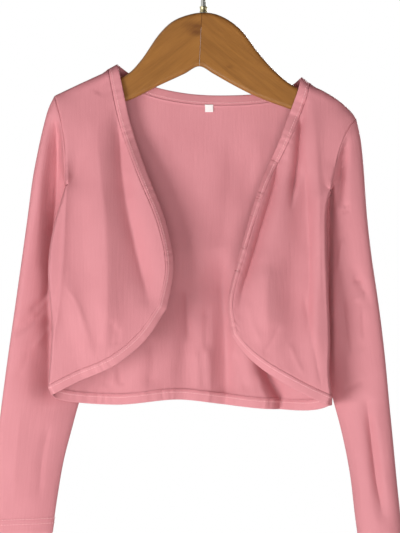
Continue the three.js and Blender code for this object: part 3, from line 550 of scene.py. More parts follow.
def broad_folds(name, x, z):
    """Push outwards of a piece's broad folds."""
    push = np.zeros(np.shape(x))
    for top_x, top_z, foot_x, foot_z, width, height in BROAD[name]:
        way_x, way_z = foot_x - top_x, foot_z - top_z
        share = np.clip(((x - top_x) * way_x + (z - top_z) * way_z) / (way_x**2 + way_z**2), 0, 1)
        distance = np.hypot(x - top_x - share * way_x, z - top_z - share * way_z)
        strength = FOLD_ENDS + (1 - FOLD_ENDS) * np.sin(np.pi * share)
        push += height * strength * np.exp(-((distance / width) ** 2))
    return push


# %% Creases
# Columns: points of the line in the photograph's pixels, width left of it, width right of it,
# push outwards, radius of its crest; all in mm but the points
CREASES = {
    "front_left": [
        ([(98, 104), (98.8, 149), (102, 185), (105.5, 213), (107.3, 245), (107.3, 312), (104, 335),
          (102, 372)], 24, 11, 4.6, 0.7),
        ([(113, 96), (119.5, 140), (121, 165), (124, 190), (127.5, 213), (133, 239), (140, 268),
          (148, 298), (152, 318)], 17, 10, -8.5, 0.9),
        ([(63, 281), (77, 301), (82, 317), (86, 336), (86.5, 366)], 1.3, 1.8, 0.8, 0.3),
        ([(78, 302), (84, 320), (89.7, 338), (93, 362)], 1.3, 2.4, 0.9, 0.3),
        ([(68.3, 105), (68, 150), (66.5, 200), (64.2, 251), (62.3, 279), (58.5, 315), (54, 345),
          (50.5, 388)], 2.2, 5, 2.6, 0.4),
        ([(113, 318), (114, 332), (111, 348)], 2, 2, -1.3, 0.6),
        ([(118, 326), (119, 336), (117, 345)], 1.5, 1.5, -1.1, 0.5),
        ([(107, 76), (102, 84), (96, 96)], 2.5, 4, -1.2, 0.8),
        ([(76, 90), (73, 112), (74, 140)], 5, 6, 0.7, 2),
        ([(86, 196), (84, 240), (88, 290)], 5, 5, -0.9, 2),
        ([(128, 228), (136, 262), (144, 300)], 3, 4, 0.7, 1.5),
        ([(96, 300), (99, 330), (98, 352)], 2.5, 3, -0.9, 0.8),
        ([(80, 118), (81, 150), (79, 185)], 2, 3, 0.5, 0.8),
        ([(90, 112), (90.5, 140), (91, 172)], 2, 3, 0.5, 0.8),
    ],
    "front_right": [
        ([(303.5, 80), (302.5, 100), (301, 119), (299.5, 136), (297.5, 162), (294, 185),
          (290, 215)], 3.2, 2.2, -7, 0.5),
        ([(312, 96), (315, 140), (318, 190), (319, 250), (319, 310)], 12, 6, 2.4, 0.8),
        ([(291, 133), (284, 150), (277.5, 165), (273.5, 185), (266.5, 210), (259.5, 232),
          (251.5, 260), (243.5, 285), (236.5, 314)], 5, 4, -8, 0.8),
        ([(347, 118), (341, 132), (335, 150), (332, 172)], 9, 4, -3.2, 1),
        ([(270, 262), (266, 290), (266, 333)], 7, 5, 1.7, 1.5),
        ([(299, 130), (303, 165), (307, 205), (308.5, 250), (308, 300), (306, 345)], 17, 5, -6.5, 1),
        ([(312, 280), (314, 310), (315, 350)], 4, 5, 1.2, 1.2),
        ([(302, 288), (304.7, 302), (312, 343), (321.5, 392)], 2.5, 4, -1.6, 0.8),
        ([(279.5, 322), (270, 343), (260.5, 358)], 3, 3, -1.4, 0.8),
        ([(287, 340), (294, 356), (303, 376)], 2.5, 3, 1.1, 0.8),
        ([(322, 185), (320, 240), (323, 310)], 3, 4, -0.8, 1.2),
        ([(247, 296), (252, 322), (262, 345)], 3, 3, 0.9, 1),
        ([(318, 118), (316, 150), (317, 190)], 2, 3, 0.6, 0.8),
    ],
    "back": [
        ([(163, 135), (164, 150), (168, 168)], 3, 3, -0.6, 1),
        ([(178, 165), (179, 185), (178, 206)], 2.5, 3, -0.6, 1),
        ([(186.5, 283), (187.5, 305), (189.5, 345)], 2.6, 1.8, 3.2, 0.5),
        ([(207, 306), (206.5, 330), (207, 354)], 1.8, 1.6, 2.4, 0.4),
        ([(195, 345), (197, 368), (198, 396)], 1.5, 2, -1.7, 0.4),
        ([(207, 345), (208.5, 365), (210, 396)], 1.5, 1.8, -1.2, 0.4),
        ([(150, 335), (152, 362), (148, 392)], 6, 8, 2.4, 1.5),
        ([(234, 350), (241, 372), (248, 396)], 3, 3.5, 2.0, 0.8),
        ([(254, 330), (264, 366), (281, 400), (294, 428)], 2.5, 15, 14, 3),
        ([(220, 245), (223, 300), (226, 350), (228, 430)], 40, 9, 16, 3),
        ([(258, 372), (262, 388), (268, 404)], 2, 3, -1.5, 0.6),
        ([(112, 362), (113, 374), (112, 388)], 2, 2, -1.4, 0.5),
        ([(119, 364), (119, 376), (121, 388)], 2, 2, 1.5, 0.5),
        ([(104, 366), (106, 378), (104, 389)], 2, 2.5, 0.8, 0.7),
        ([(232, 130), (228, 200), (220, 262)], 8, 10, 1.5, 2),
        ([(196, 215), (203, 262), (196, 310)], 6, 8, -0.8, 2),
        ([(262, 130), (256, 180), (244, 232)], 6, 8, -1.5, 1.5),
        ([(92, 120), (98, 200), (88, 300)], 7, 9, 2.6, 1.5),
        ([(310, 140), (300, 220), (306, 330)], 8, 7, 2.4, 1.5),
        ([(70, 250), (84, 320), (80, 388)], 5, 6, -2.2, 1.2),
    ],
    "sleeve_left": [
        ([(57, 98), (58.5, 125), (58.5, 155), (57, 190), (53, 226), (49.5, 258), (47, 290),
          (45, 330)], 6, 10, -10, 1.2),
        ([(56, 104), (56, 130), (56, 165), (54.5, 195), (52, 225), (49.5, 255)], 4, 6, -2.8, 0.8),
        ([(42, 128), (40, 175), (36, 230)], 4, 5, 0.8, 2),
        ([(49, 284), (43, 298), (34, 306), (27, 314)], 2, 2, -1.6, 0.6),
        ([(50, 292), (44, 303), (34, 315), (26, 322)], 1.8, 1.8, 1.8, 0.4),
        ([(44, 308), (36, 318), (26, 327), (10, 338)], 1.8, 2, -1.5, 0.5),
        ([(54, 322), (44, 334), (30, 350)], 2, 2.4, 1.8, 0.5),
        ([(48, 292), (47.5, 330), (48, 360), (48, 408)], 8, 12, -10, 2.5),
        ([(24, 262), (20, 300), (16, 330)], 3, 4, 0.8, 1.5),
        ([(22, 400), (16, 450), (12, 505)], 4, 5, 0.9, 1.5),
        ([(50, 420), (42, 455), (38, 505)], 4, 4, -1.8, 1.2),
        ([(28, 345), (24, 365), (14, 382)], 2.5, 3, -0.8, 1),
    ],
    "sleeve_left_behind": [
        ([(48, 130), (44, 190), (40, 250)], 4, 5, -1.2, 1.5),
        ([(50, 300), (38, 318), (22, 332)], 3, 3, -1.2, 1),
        ([(52, 330), (40, 345), (20, 356)], 3, 3, 1.0, 1),
        ([(30, 380), (26, 430), (22, 500)], 4, 4, 0.9, 1.5),
    ],
    "sleeve_right": [
        ([(345, 132), (342.5, 152), (341, 175), (339, 212)], 5, 4, -2.6, 1.2),
        ([(351, 138), (349, 170), (350, 215)], 3, 4, 0.8, 1.5),
        ([(330, 165), (330, 250), (329.5, 330), (331.5, 400)], 2.5, 1.8, -9, 0.5),
        ([(335, 150), (334, 250), (334, 330), (336, 400)], 1.8, 10, 6, 0.8),
        ([(351, 205), (347, 205.5), (343, 208)], 1.5, 1.5, -1.1, 0.5),
        ([(351, 210), (346, 210.5), (341, 213)], 1.5, 1.5, -1.0, 0.5),
        ([(343, 238), (341, 248), (338, 272)], 1.6, 3, 1.6, 0.5),
        ([(353, 279), (358, 281), (364, 280)], 1.8, 1.8, -1.4, 0.6),
        ([(353, 297), (358, 299), (365, 291)], 1.8, 2, 1.3, 0.6),
        ([(360, 302), (359.5, 322), (362, 346)], 2.5, 3, 1.5, 0.8),
        ([(342, 290), (346, 325), (350, 360)], 4, 3, -1.9, 1),
        ([(366, 396), (368, 410), (374, 464), (376.2, 482), (380.6, 504), (382.5, 522)], 3, 2.5, -2.8, 0.7),
        ([(374, 400), (380, 450), (388, 505)], 3, 4, 1.3, 1),
        ([(350, 430), (357, 470), (362, 520)], 3, 3, 1.2, 1),
        ([(344, 392), (354, 384), (366, 380)], 3, 3, -1.3, 0.8),
    ],
    "sleeve_right_behind": [
        ([(350, 150), (346, 200), (342, 250)], 4, 5, -1.2, 1.5),
        ([(340, 290), (354, 300), (370, 304)], 3, 3, -1.1, 1),
        ([(340, 318), (354, 328), (372, 330)], 3, 3, 0.9, 1),
        ([(358, 370), (366, 430), (374, 510)], 4, 4, 0.9, 1.5),
    ],
}
CREASE_FADE = 0.25


def creases(name, x, z):
    """Push outwards of a piece's creases."""
    push = np.zeros(np.shape(x))
    for points, left, right, height, crest in CREASES[name]:
        line = smooth_line([seen(*point) for point in points], fineness=6)
        length = lengths_of(line)
        nearest = np.full(np.shape(x), 1e9)
        beside = np.zeros(np.shape(x))
        share = np.zeros(np.shape(x))
        for (start_x, start_z), (end_x, end_z), before in zip(line, line[1:], length):
            way_x, way_z = end_x - start_x, end_z - start_z
            run = math.hypot(way_x, way_z)
            t = np.clip(((x - start_x) * way_x + (z - start_z) * way_z) / run**2, 0, 1)
            off_x, off_z = x - start_x - t * way_x, z - start_z - t * way_z
            distance = np.hypot(off_x, off_z)
            closer = distance < nearest
            nearest = np.where(closer, distance, nearest)
            beside = np.where(closer, way_x * off_z - way_z * off_x, beside)
            share = np.where(closer, (before + t * run) / length[-1], share)
        width = np.where(beside > 0, right, left)
        strength = step_up(share, 0, CREASE_FADE) * step_up(1 - share, 0, CREASE_FADE)
        push += height * strength * np.exp(-(np.sqrt(nearest**2 + crest**2) - crest) / width)
    return push


def unevenness(x, z):
    """The slight waviness of cloth that has been folded and hung up."""
    return 0.3 * np.sin(x / 11 + z / 37) * np.sin(z / 29 - x / 53) + 0.12 * np.sin(x / 4.7 - z / 23)


print("creases laid:", {name: len(rows) for name, rows in CREASES.items()})

# %% [markdown]
# ## From a grid of points to a sheet of cloth
# A sewn piece is a thin wall with two faces, so each piece is made as a grid of points on its
# middle, moved half the cloth's thickness to either side and closed by a rounded rim. Blender's
# Solidify modifier does nearly the same, but here the wall has to get thicker at a turned hem, and
# its edges have to lie square to the seams. The grid also gives the cloth's own width and length
# for the knit.

# %% Grids
def run_over(grid, axis):
    """Length over a grid of places from its first row (axis 0) or column (axis 1)."""
    steps = np.linalg.norm(np.diff(grid, axis=axis), axis=2)
    return np.cumsum(np.insert(steps, 0, 0, axis=axis), axis=axis)


def cells(rows, columns):
    """Rows and columns of the four corners of each cell of a grid."""
    i, j = (part.ravel() for part in np.meshgrid(np.arange(rows), np.arange(columns), indexing="ij"))
    return np.stack([i, i + 1, i + 1, i], axis=1), np.stack([j, j, j + 1, j + 1], axis=1)


def directions_across(grid, outward, closed=False):
    """Directions square to a grid's surface; the sign of outward chooses the side."""
    if closed:
        across = np.roll(grid, -1, axis=1) - np.roll(grid, 1, axis=1)
    else:
        across = np.gradient(grid, axis=1)
    return unit(np.cross(np.gradient(grid, axis=0), across)) * outward


def knit_places(grid, reference_x=None, closed=False):
    """Width and length of the cloth at each point of a grid, in metres, for the knit."""
    ring = np.concatenate([grid, grid[:, :1]], axis=1) if closed else grid
    width = run_over(ring, 1)
    if reference_x is None:
        length = lengths_of(grid[:, 0])[:, None] + np.zeros_like(width)
        return np.stack([width, -length], axis=-1) / 1000
    for row, places in enumerate(grid):
        order = np.argsort(places[:, 0])
        width[row] -= np.interp(reference_x, places[order, 0], width[row][order])
    return np.stack([width, grid[..., 2]], axis=-1) / 1000


# %% Pieces
RIM_ROUNDNESS = 0.6
MERGE_DISTANCE = 1e-7


def piece_of(name, shell, mesh=None, sharp=None):
    """A smooth object from a closed shell, with sharp edges past an angle where one is given."""
    mesh = mesh or bpy.data.meshes.new(name)
    bmesh.ops.recalc_face_normals(shell, faces=shell.faces)
    shell.to_mesh(mesh)
    shell.free()
    mesh.shade_smooth()
    if sharp:
        mesh.set_sharp_from_angle(angle=math.radians(sharp))
    return in_scene(name, mesh)


def finish_piece(piece, material, slot, *nodes):
    """Gives a piece its material and its body, and hides the solids it stands for."""
    piece.data.materials.append(material)
    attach(piece, "root")
    if nodes:
        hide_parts(*nodes)
    return piece


def cloth_object(name, points, faces, places):
    """A smooth Blender object from points in mm, faces of four corners and the knit's places."""
    mesh = bpy.data.meshes.new(name)
    mesh.from_pydata((points / 1000).tolist(), [], faces.tolist())
    mesh.uv_layers.new(name="UVMap").data.foreach_set("uv", places.reshape(-1))
    shell = bmesh.new()
    shell.from_mesh(mesh)
    bmesh.ops.remove_doubles(shell, verts=shell.verts, dist=MERGE_DISTANCE)
    return piece_of(name, shell, mesh)


def cloth(name, grid, normals, thickness, knit, closed=False):
    """A wall of cloth about a grid of points in mm, as a Blender object in metres."""
    rows, columns = grid.shape[:2]
    wide = columns if closed else columns - 1
    half = np.broadcast_to(np.asarray(thickness, float) / 2, (rows, columns))[..., None]
    points = [(grid + normals * half).reshape(-1, 3), (grid - normals * half).reshape(-1, 3)]
    corner_rows, corner_columns = cells(rows - 1, wide)
    vertex = corner_rows * columns + corner_columns % columns
    on_knit = knit[corner_rows, corner_columns]
    faces = [vertex, vertex[:, ::-1] + rows * columns]
    places = [on_knit, on_knit[:, ::-1]]
    rims = [(np.full(wide + 1, row), np.arange(wide + 1), (inwards, 0))
            for row, inwards in ((0, 1), (rows - 1, -1))]
    if not closed:
        rims += [(np.arange(rows), np.full(rows, column), (0, inwards))
                 for column, inwards in ((0, 1), (columns - 1, -1))]
    count = 2 * rows * columns
    for row_at, column_at, (down, across) in rims:
        on_grid = column_at % columns
        edge = grid[row_at, on_grid]
        outwards = unit(edge - grid[row_at + down, on_grid + across])
        points.append(edge + outwards * half[row_at, on_grid] * RIM_ROUNDNESS)
        face, rim = row_at * columns + on_grid, count + np.arange(len(edge))
        count += len(edge)
        at = knit[row_at, column_at]
        for layer in (0, rows * columns):
            faces.append(np.stack([face[:-1] + layer, rim[:-1], rim[1:], face[1:] + layer], axis=1))
            places.append(np.stack([at[:-1], at[:-1], at[1:], at[1:]], axis=1))
    return cloth_object(name, np.concatenate(points), np.concatenate(faces), np.concatenate(places))


# %% [markdown]
# ## Armholes
# Each armhole is a closed loop where the sleeve, the front and the back meet. It is worked out
# once, with the direction out of the cloth and the direction into the sleeve at each point, and
# all three pieces take their edge from it, so the seam closes all round.

# %% Armhole loops
SIDES = ("left", "right")
SEAM_GAP = 0.1
ARMHOLE_DEPTH = 13
SECTION_ROUNDNESS = 0.7
ARM_STEPS = 72
SLEEVE_SLOPE_AT_SHOULDER, SLEEVE_SLOPE_AT_UNDERARM = -25, 45

arm_turn = np.arange(2 * ARM_STEPS) * math.pi / ARM_STEPS
arm_share = (1 - np.cos(arm_turn)) / 2


def armhole_loop(side):
    """Points, directions out of the cloth and directions into the sleeve round an armhole."""
    depth = ARMHOLE_DEPTH * np.abs(np.sin(arm_turn)) ** SECTION_ROUNDNESS
    points = upright(along(ARMHOLE[side], arm_share), np.where(arm_turn < math.pi, -depth, depth))
    slope_change = SLEEVE_SLOPE_AT_UNDERARM - SLEEVE_SLOPE_AT_SHOULDER
    slope = np.radians(SLEEVE_SLOPE_AT_SHOULDER + slope_change * arm_share**2)
    sign = -1 if side == "left" else 1
    into = np.stack([sign * np.cos(slope), 0 * slope, np.sin(slope)], axis=1)
    run = unit(np.roll(points, -2, axis=0) - np.roll(points, 2, axis=0))
    into = unit(into - run * np.sum(into * run, axis=1, keepdims=True))
    out = unit(np.cross(run, into))
    inwards = np.sum(out * (points - points.mean(axis=0)), axis=1) < 0
    out[inwards] *= -1
    return points, out, into


def round_length(loop):
    """Length round a closed loop."""
    return round(lengths_of(np.vstack([loop, loop[:1]]))[-1])


armholes = {side: armhole_loop(side) for side in SIDES}
print("armholes, mm round:", {side: round_length(loop[0]) for side, loop in armholes.items()})

# %% [markdown]
# ## Fronts and back
# A front is stretched between four edges: the shoulder, the armhole with the side seam below it,
# the open edge and the curved bottom. Seen from the front, a point inside is blended from those
# four edges. Its depth is that of cloth over the hanger, rolled over the shoulder and round the
# side, pulled to the armhole's loop near its edge. The pull is softened more the further it is
# from the seam, as real cloth evens out a sharp corner at the underarm.

# %% Edges of a panel
SIDE_STEPS = 100
SIDE_CROWDING = 1.25
ARMHOLE_SHARE = 0.42

shoulder_points = np.array(SHOULDER_POINTS["left"] + SHOULDER_POINTS["right"][::-1])
wood_foot = np.array(HANGER_FOOT["left"] + HANGER_FOOT["right"][::-1])


def shoulder_height(x):
    """Height of the shoulder line, carried straight across the neck."""
    return np.interp(x, shoulder_points[:, 0], shoulder_points[:, 1])


def toward(facing):
    """The sign of y on the side that a panel faces."""
    return -1 if facing == "front" else 1


def outer_edge(side, facing):
    """A panel's outer edge: points, directions out of the cloth on the armhole, heights as shares."""
    points, out, into = armholes[side]
    steps = np.arange(ARM_STEPS + 1)
    order = steps if facing == "front" else (2 * ARM_STEPS - steps) % (2 * ARM_STEPS)
    arm = points[order] - into[order] * SEAM_GAP / 2
    share = 1 - (1 - np.arange(1, SIDE_STEPS + 1) / SIDE_STEPS) ** SIDE_CROWDING
    seam = along(SIDE_SEAM[side], share)
    seam = upright(seam, lookup(BODY, seam[:, 1], 3 if side == "left" else 4))
    edge = np.vstack([arm, seam])
    edge[[0, *range(ARM_STEPS, len(edge))], 1] += toward(facing) * SEAM_GAP / 2
    height = np.concatenate([ARMHOLE_SHARE * arm_share[steps], ARMHOLE_SHARE + (1 - ARMHOLE_SHARE) * share])
    return edge, out[order], height


def fanned(height, from_edge):
    """Row heights that follow an edge and grow even away from it."""
    even = height.copy()
    even[: ARM_STEPS + 1] = ARMHOLE_SHARE * np.arange(ARM_STEPS + 1) / ARM_STEPS
    away = step_up(from_edge, 0, 1)[None]
    return height[:, None] * (1 - away) + even[:, None] * away


def on_edge(rows, height, edge):
    """Places on an outer edge, seen from the front, at row heights."""
    return np.stack([np.interp(rows, height, edge[:, axis]) for axis in (0, 2)], axis=-1)


def between_edges(across, rows, left, right, top, bottom):
    """Places seen from the front inside four edges."""
    a, d = across[None, :, None], rows[..., None]
    corners = (1 - d) * ((1 - a) * top[0] + a * top[-1]) + d * ((1 - a) * bottom[0] + a * bottom[-1])
    return (1 - a) * left + a * right + (1 - d) * top[None] + d * bottom[None] - corners


def ends_closer(steps):
    """Shares from 0 to 1 that lie closer together towards both ends."""
    share = np.arange(steps + 1) / steps
    return share - 0.7 * np.sin(2 * np.pi * share) / (2 * np.pi)


# %% Depth of a panel
SHOULDER_ROLL = 9
SIDE_ROLL = {"front": 3, "back": 46}
ARMHOLE_BLEND = 45
UNDERARM_REACH = 9
LEAST_REACH = 1.5
LEVEL_STEP = 0.5
# How far the pull of an edge is evened out, and how fast that grows with the distance from it
SOFTNESS = (0, 3, 6, 12, 24)
SOFTENING = 0.7
# Heights below the shoulder line, in mm, between which something sets in
FOLDS_SET_IN = (6, 40)
CREASES_SET_IN = (2, 16)
WOOD_SETS_IN = (0, 4)
WOOD_CLEARANCE = 1.3
WOOD_REACH = (-26, -1)
CORNER_SHARPNESS = 1.5


def over_wood(x, z):
    """One where the hanger is behind the cloth, falling to 0 a little below it."""
    return step_up(z - np.interp(x, wood_foot[:, 0], wood_foot[:, 1]), *WOOD_REACH)


def panel_depth(name, facing, grid):
    """Depth of the cloth over the hanger, with its folds, before its sides are rounded."""
    x, z = grid[..., 0], grid[..., 2]
    below = shoulder_height(x) - z
    plain = lookup(BODY, z, 1 if facing == "front" else 2) * rolled(below, SHOULDER_ROLL)
    folds = broad_folds(name, x, z) * step_up(below, *FOLDS_SET_IN)
    fine = (creases(name, x, z) + unevenness(x, z)) * step_up(below, *CREASES_SET_IN)
    depth = plain + folds + fine
    least = (HANGER_THICKNESS / 2 + WOOD_CLEARANCE) * rolled(below, SHOULDER_ROLL) * over_wood(x, z)
    lift = np.log1p(np.exp(CORNER_SHARPNESS * (least - depth))) / CORNER_SHARPNESS
    return toward(facing) * (depth + lift * step_up(below, *WOOD_SETS_IN))


def softened(values, spacing, spread):
    """Values evened out along a line."""
    if spread == 0:
        return values
    reach = int(3 * spread / spacing) + 1
    weights = np.exp(-0.5 * (np.arange(-reach, reach + 1) * spacing / spread) ** 2)
    return np.convolve(np.pad(values, reach, mode="edge"), weights / weights.sum(), mode="valid")


def edge_pull(facing, grid, rows, edge, height, full):
    """What an outer edge takes off a panel's full depth."""
    beside = np.minimum(height / ARMHOLE_SHARE, 1)
    easy = edge[:, 1].copy()
    lower = (beside > 0.5) & (beside < 1)
    easy[lower] = toward(facing) * ARMHOLE_DEPTH * 4 * beside[lower] * (1 - beside[lower])
    narrowing = np.where(beside > 0.5, np.sqrt(np.maximum(4 * beside * (1 - beside), 0)), 1)
    edge_x, edge_y = (np.interp(rows, height, edge[:, axis]) for axis in (0, 1))
    reach_here = np.interp(rows, height, np.maximum(UNDERARM_REACH * narrowing, LEAST_REACH))
    levels = np.arange(edge[-1, 2], edge[0, 2], LEVEL_STEP)
    x, z = grid[..., 0], grid[..., 2]
    underarm = edge[ARM_STEPS, 2]
    drop = (z - underarm) * (edge[0, 2] - underarm) / (shoulder_height(x) - underarm)
    level_here = np.where(z > underarm, underarm + drop, z)
    distance = np.abs(x - edge_x)
    wanted = np.interp(SOFTENING * distance, SOFTNESS, range(len(SOFTNESS)))
    easy_here, rounding_here = np.zeros((2, *distance.shape))
    for number, spread in enumerate(SOFTNESS):
        weight = np.clip(1 - np.abs(wanted - number), 0, 1)
        for total, values in ((easy_here, easy), (rounding_here, beside**4)):
            even = softened(np.interp(levels, edge[::-1, 2], values[::-1]), LEVEL_STEP, spread)
            total += weight * np.interp(level_here, levels, even)
    soft = step_up(distance, 0, ARMHOLE_BLEND)
    reach = soft + (rolled(distance, SIDE_ROLL[facing]) - soft) * rounding_here
    close = np.exp(-((distance / reach_here) ** 2))
    return (easy_here - full) * (1 - reach) + (edge_y - easy_here) * close


# %% Seams and gathers
SEAM_DIP = 1.1
SEAM_REACH = 0.75
CORNER_REACH = 3
GATHER = 0.28
GATHER_SPACING = 8.5
GATHER_REACH = 5


def pucker(distance, run):
    """Small gathers that a sewn band draws into the cloth beside it."""
    wave = np.sin(2 * np.pi * run / GATHER_SPACING + 1.3 * np.sin(2 * np.pi * run / 31))
    return GATHER * (0.6 + 0.4 * np.sin(run / 9.1)) * wave * np.exp(-((distance / GATHER_REACH) ** 2))


def seam_dip(distance):
    """How far the cloth dips at a distance from a seam."""
    return SEAM_DIP * np.exp(-((distance / SEAM_REACH) ** 2))


def away_from(grid, corner):
    """One, but falling to 0 at a corner where seams meet."""
    return 1 - np.exp(-((np.linalg.norm(grid - corner, axis=2) / CORNER_REACH) ** 2))


def sink_seams(grid, normals, corners):
    """The cloth dips into each seam round a panel, but not at the corners where seams meet."""
    from_left, from_top = run_over(grid, 1), run_over(grid, 0)
    from_right, from_bottom = from_left[:, -1:] - from_left, from_top[-1:] - from_top
    nearest = np.minimum.reduce([from_left, from_right, from_top, from_bottom])
    dip = seam_dip(nearest)
    for corner in corners:
        dip *= away_from(grid, corner)
    return grid - normals * dip[..., None]


def level(directions):
    """Directions turned square to the plane that runs front to back."""
    flat = directions.copy()
    flat[..., 1] = 0
    return unit(flat)


def square_to_seams(normals, column, out):
    """Turns the directions along an outer edge to those of the armhole and the side seam."""
    normals[: ARM_STEPS + 1, column] = out
    normals[ARM_STEPS + 1:, column] = level(normals[ARM_STEPS + 1:, column])


# %% Fronts
JERSEY = 0.9
FRONT_COLUMNS = 92
FRONT_FAN = 0.25
CALM_POINTS = 12
GRAIN_LINE = {"left": -100, "right": 100}


def front(side):
    """One front: its object and the edge that its band follows."""
    name = f"front_{side}"
    edge, out, height = outer_edge(side, "front")
    across = ends_closer(FRONT_COLUMNS)
    rows = fanned(height, across / FRONT_FAN)
    grid = upright(between_edges(across, rows, on_edge(rows, height, edge), along(OPENING[side], rows),
                                 along(SHOULDER[side], across), along(BOTTOM[side], across)))
    full = panel_depth(name, "front", grid)
    grid[..., 1] = full + edge_pull("front", grid, rows, edge, height, full)
    grid[0, :, 1] = -SEAM_GAP / 2
    opening_run = lengths_of(grid[:, -1])[:, None]
    from_opening = np.linalg.norm(grid - grid[:, -1:], axis=2)
    from_bottom = np.linalg.norm(grid - grid[-1:], axis=2)
    calm_down, calm_across = (step_up(np.arange(count) / CALM_POINTS, 0, 1) for count in grid.shape[:2])
    gathers = pucker(from_opening, opening_run) + pucker(from_bottom, grid[-1:, :, 0])
    grid[..., 1] -= calm_down[:, None] * calm_across * gathers
    normals = directions_across(grid, 1 if side == "left" else -1)
    square_to_seams(normals, 0, out)
    normals[0, 1:] = level(normals[0, 1:])
    seam = np.vstack([grid[:, -1], grid[-1, -2::-1]])
    seam_out = np.vstack([normals[:, -1], normals[-1, -2::-1]])
    corners = [grid[0, -1], grid[-1, 0], grid[ARM_STEPS, 0], grid[0, 0]]
    knit = knit_places(grid, GRAIN_LINE[side])
    piece = cloth(name + "_cloth", sink_seams(grid, normals, corners), normals, JERSEY, knit)
    return finish_piece(piece, jersey, "jersey", name), seam, seam_out


front_left, seam_left, seam_left_out = front("left")
front_right, seam_right, seam_right_out = front("right")
print("faces in a front:", len(front_left.data.polygons))

# %% Back
BACK_COLUMNS = 170
BACK_FAN = 0.12
HEM_CALM = (0.02, 0.08)
NECK_SHARE = (1 - math.cos(5 / 24 * math.pi)) / 2


def back_top(across):
    """Shoulder, neck and shoulder as one edge of the back."""
    places = np.empty((len(across), 2))
    left, right = across <= NECK_SHARE, across >= 1 - NECK_SHARE
    neck = ~left & ~right
    places[left] = along(SHOULDER["left"], across[left] / NECK_SHARE)
    places[right] = along(SHOULDER["right"], (1 - across[right]) / NECK_SHARE)
    share = (across[neck] - NECK_SHARE) / (1 - 2 * NECK_SHARE)
    places[neck] = along(NECK, (share + (1 - np.cos(share * np.pi)) / 2) / 2)
    return places


def back():
    """The back: its object, and the neck and hem edges that the bands follow."""
    left, left_out, height = outer_edge("left", "back")
    right, right_out, _ = outer_edge("right", "back")
    across = ends_closer(BACK_COLUMNS)
    to_side = np.minimum(across, 1 - across)
    rows = fanned(height, to_side / BACK_FAN)
    grid = upright(between_edges(across, rows, on_edge(rows, height, left), on_edge(rows, height, right),
                                 back_top(across), along(BACK_HEM, across)))
    full = panel_depth("back", "back", grid)
    grid[..., 1] = (full + edge_pull("back", grid, rows, left, height, full)
                    + edge_pull("back", grid, rows, right, height, full))
    on_shoulder = (across <= NECK_SHARE) | (across >= 1 - NECK_SHARE)
    grid[0, on_shoulder, 1] = SEAM_GAP / 2
    from_hem = np.linalg.norm(grid - grid[-1:], axis=2)
    grid[..., 1] += step_up(to_side, *HEM_CALM) * pucker(from_hem, grid[-1:, :, 0])
    normals = directions_across(grid, -1)
    square_to_seams(normals, 0, left_out)
    square_to_seams(normals, -1, right_out)
    inner_shoulder = on_shoulder & (to_side > 0)
    normals[0, inner_shoulder] = level(normals[0, inner_shoulder])
    open_columns = np.flatnonzero(~on_shoulder)
    at_neck = slice(open_columns[0] - 1, open_columns[-1] + 2)
    corners = [grid[row, column] for row in (0, ARM_STEPS, -1) for column in (0, -1)]
    corners += [grid[0, at_neck][0], grid[0, at_neck][-1]]
    piece = cloth("back_cloth", sink_seams(grid, normals, corners), normals, JERSEY, knit_places(grid, 0))
    finish_piece(piece, jersey, "jersey", "back")
    return piece, (grid[0, at_neck], normals[0, at_neck]), (grid[-1], normals[-1])


back_piece, (neck_seam, neck_out), (hem_seam, hem_out) = back()
print("faces in the back:", len(back_piece.data.polygons))

# %% [markdown]
# ## Sleeves
# A sleeve is a tube of rings from the armhole to the cuff. A table gives the outer and inner edge
# of each section, how far back they hang, and how full the sleeve is there. It has one seam, on its
# inner edge, and ends in a turned hem held by two rows of twin-needle stitches.

# %% Sleeve sections
# Columns: number, outer x, outer z, outer y, inner x, inner z, inner y, half depth, in mm
SLEEVE = {
    "left": [
        (0, -137.5, -135.4, 0, -127.1, -217.3, 0, 13),
        (1, -143, -147, 1, -128.6, -216.2, 2, 13),
        (2, -147.6, -163, 2, -127.7, -219, 5.8, 13),
        (3, -152.4, -184, 3, -126.2, -226, 10.5, 13),
        (4, -157.8, -212, 5, -126.5, -241, 16.6, 13),
        (5, -163, -250, 8, -124, -266, 23.5, 12.5),
        (6, -169, -292, 11, -120.5, -300, 28.5, 12),
        (7, -174.5, -330, 13, -117, -334, 28, 11.5),
        (8, -180, -368, 14, -114, -368, 29, 11),
        (9, -184.9, -404, 14, -113, -403, 30.5, 10),
        (10, -189.4, -439, 14, -120.8, -436, 26, 9),
        (11, -194, -474, 13, -130, -472, 22, 8.5),
        (12, -198.3, -508.5, 12, -136, -507, 18, 8),
        (13, -202.5, -542, 12, -140.5, -540, 16, 7.5),
    ],
    "right": [
        (0, 140.6, -156.3, 0, 117.7, -221.9, 0, 13),
        (1, 143.4, -168, 1, 118.4, -221, 2.4, 13),
        (2, 145.8, -183, 2, 117.6, -224, 6.2, 13),
        (3, 148, -208, 2, 114.9, -231, 10.2, 13.5),
        (4, 150.6, -245, 2, 113, -248, 15, 14),
        (5, 154.6, -281, 3, 109.5, -275, 20, 14.5),
        (6, 159.4, -313, 5, 107.5, -308, 23, 14.5),
        (7, 164, -346, 6, 107.5, -342, 24, 14),
        (8, 168, -381, 7, 110, -378, 24, 14),
        (9, 171.4, -417, 8, 119.5, -412, 22, 14),
        (10, 175, -454, 8, 129, -448, 18, 14.5),
        (11, 178.4, -490, 8, 136.2, -485, 15, 15.5),
        (12, 182, -525, 8, 140.6, -522, 13, 16.5),
        (13, 185, -557, 8, 145, -555, 12, 17),
    ],
}
INNER_EDGE_ROUNDNESS = 1.1
SHARPER_BY = 3
ARMHOLE_FADES_BY = 5
LAST_RING = 13
SLEEVE_RINGS = 230
SLEEVE_SEAM_DIP = 0.4
SLEEVE_SEAM_REACH = 0.7
HEM_DEPTH = 15
TURNED_HEM = 0.7
HEM_STEP = 0.8


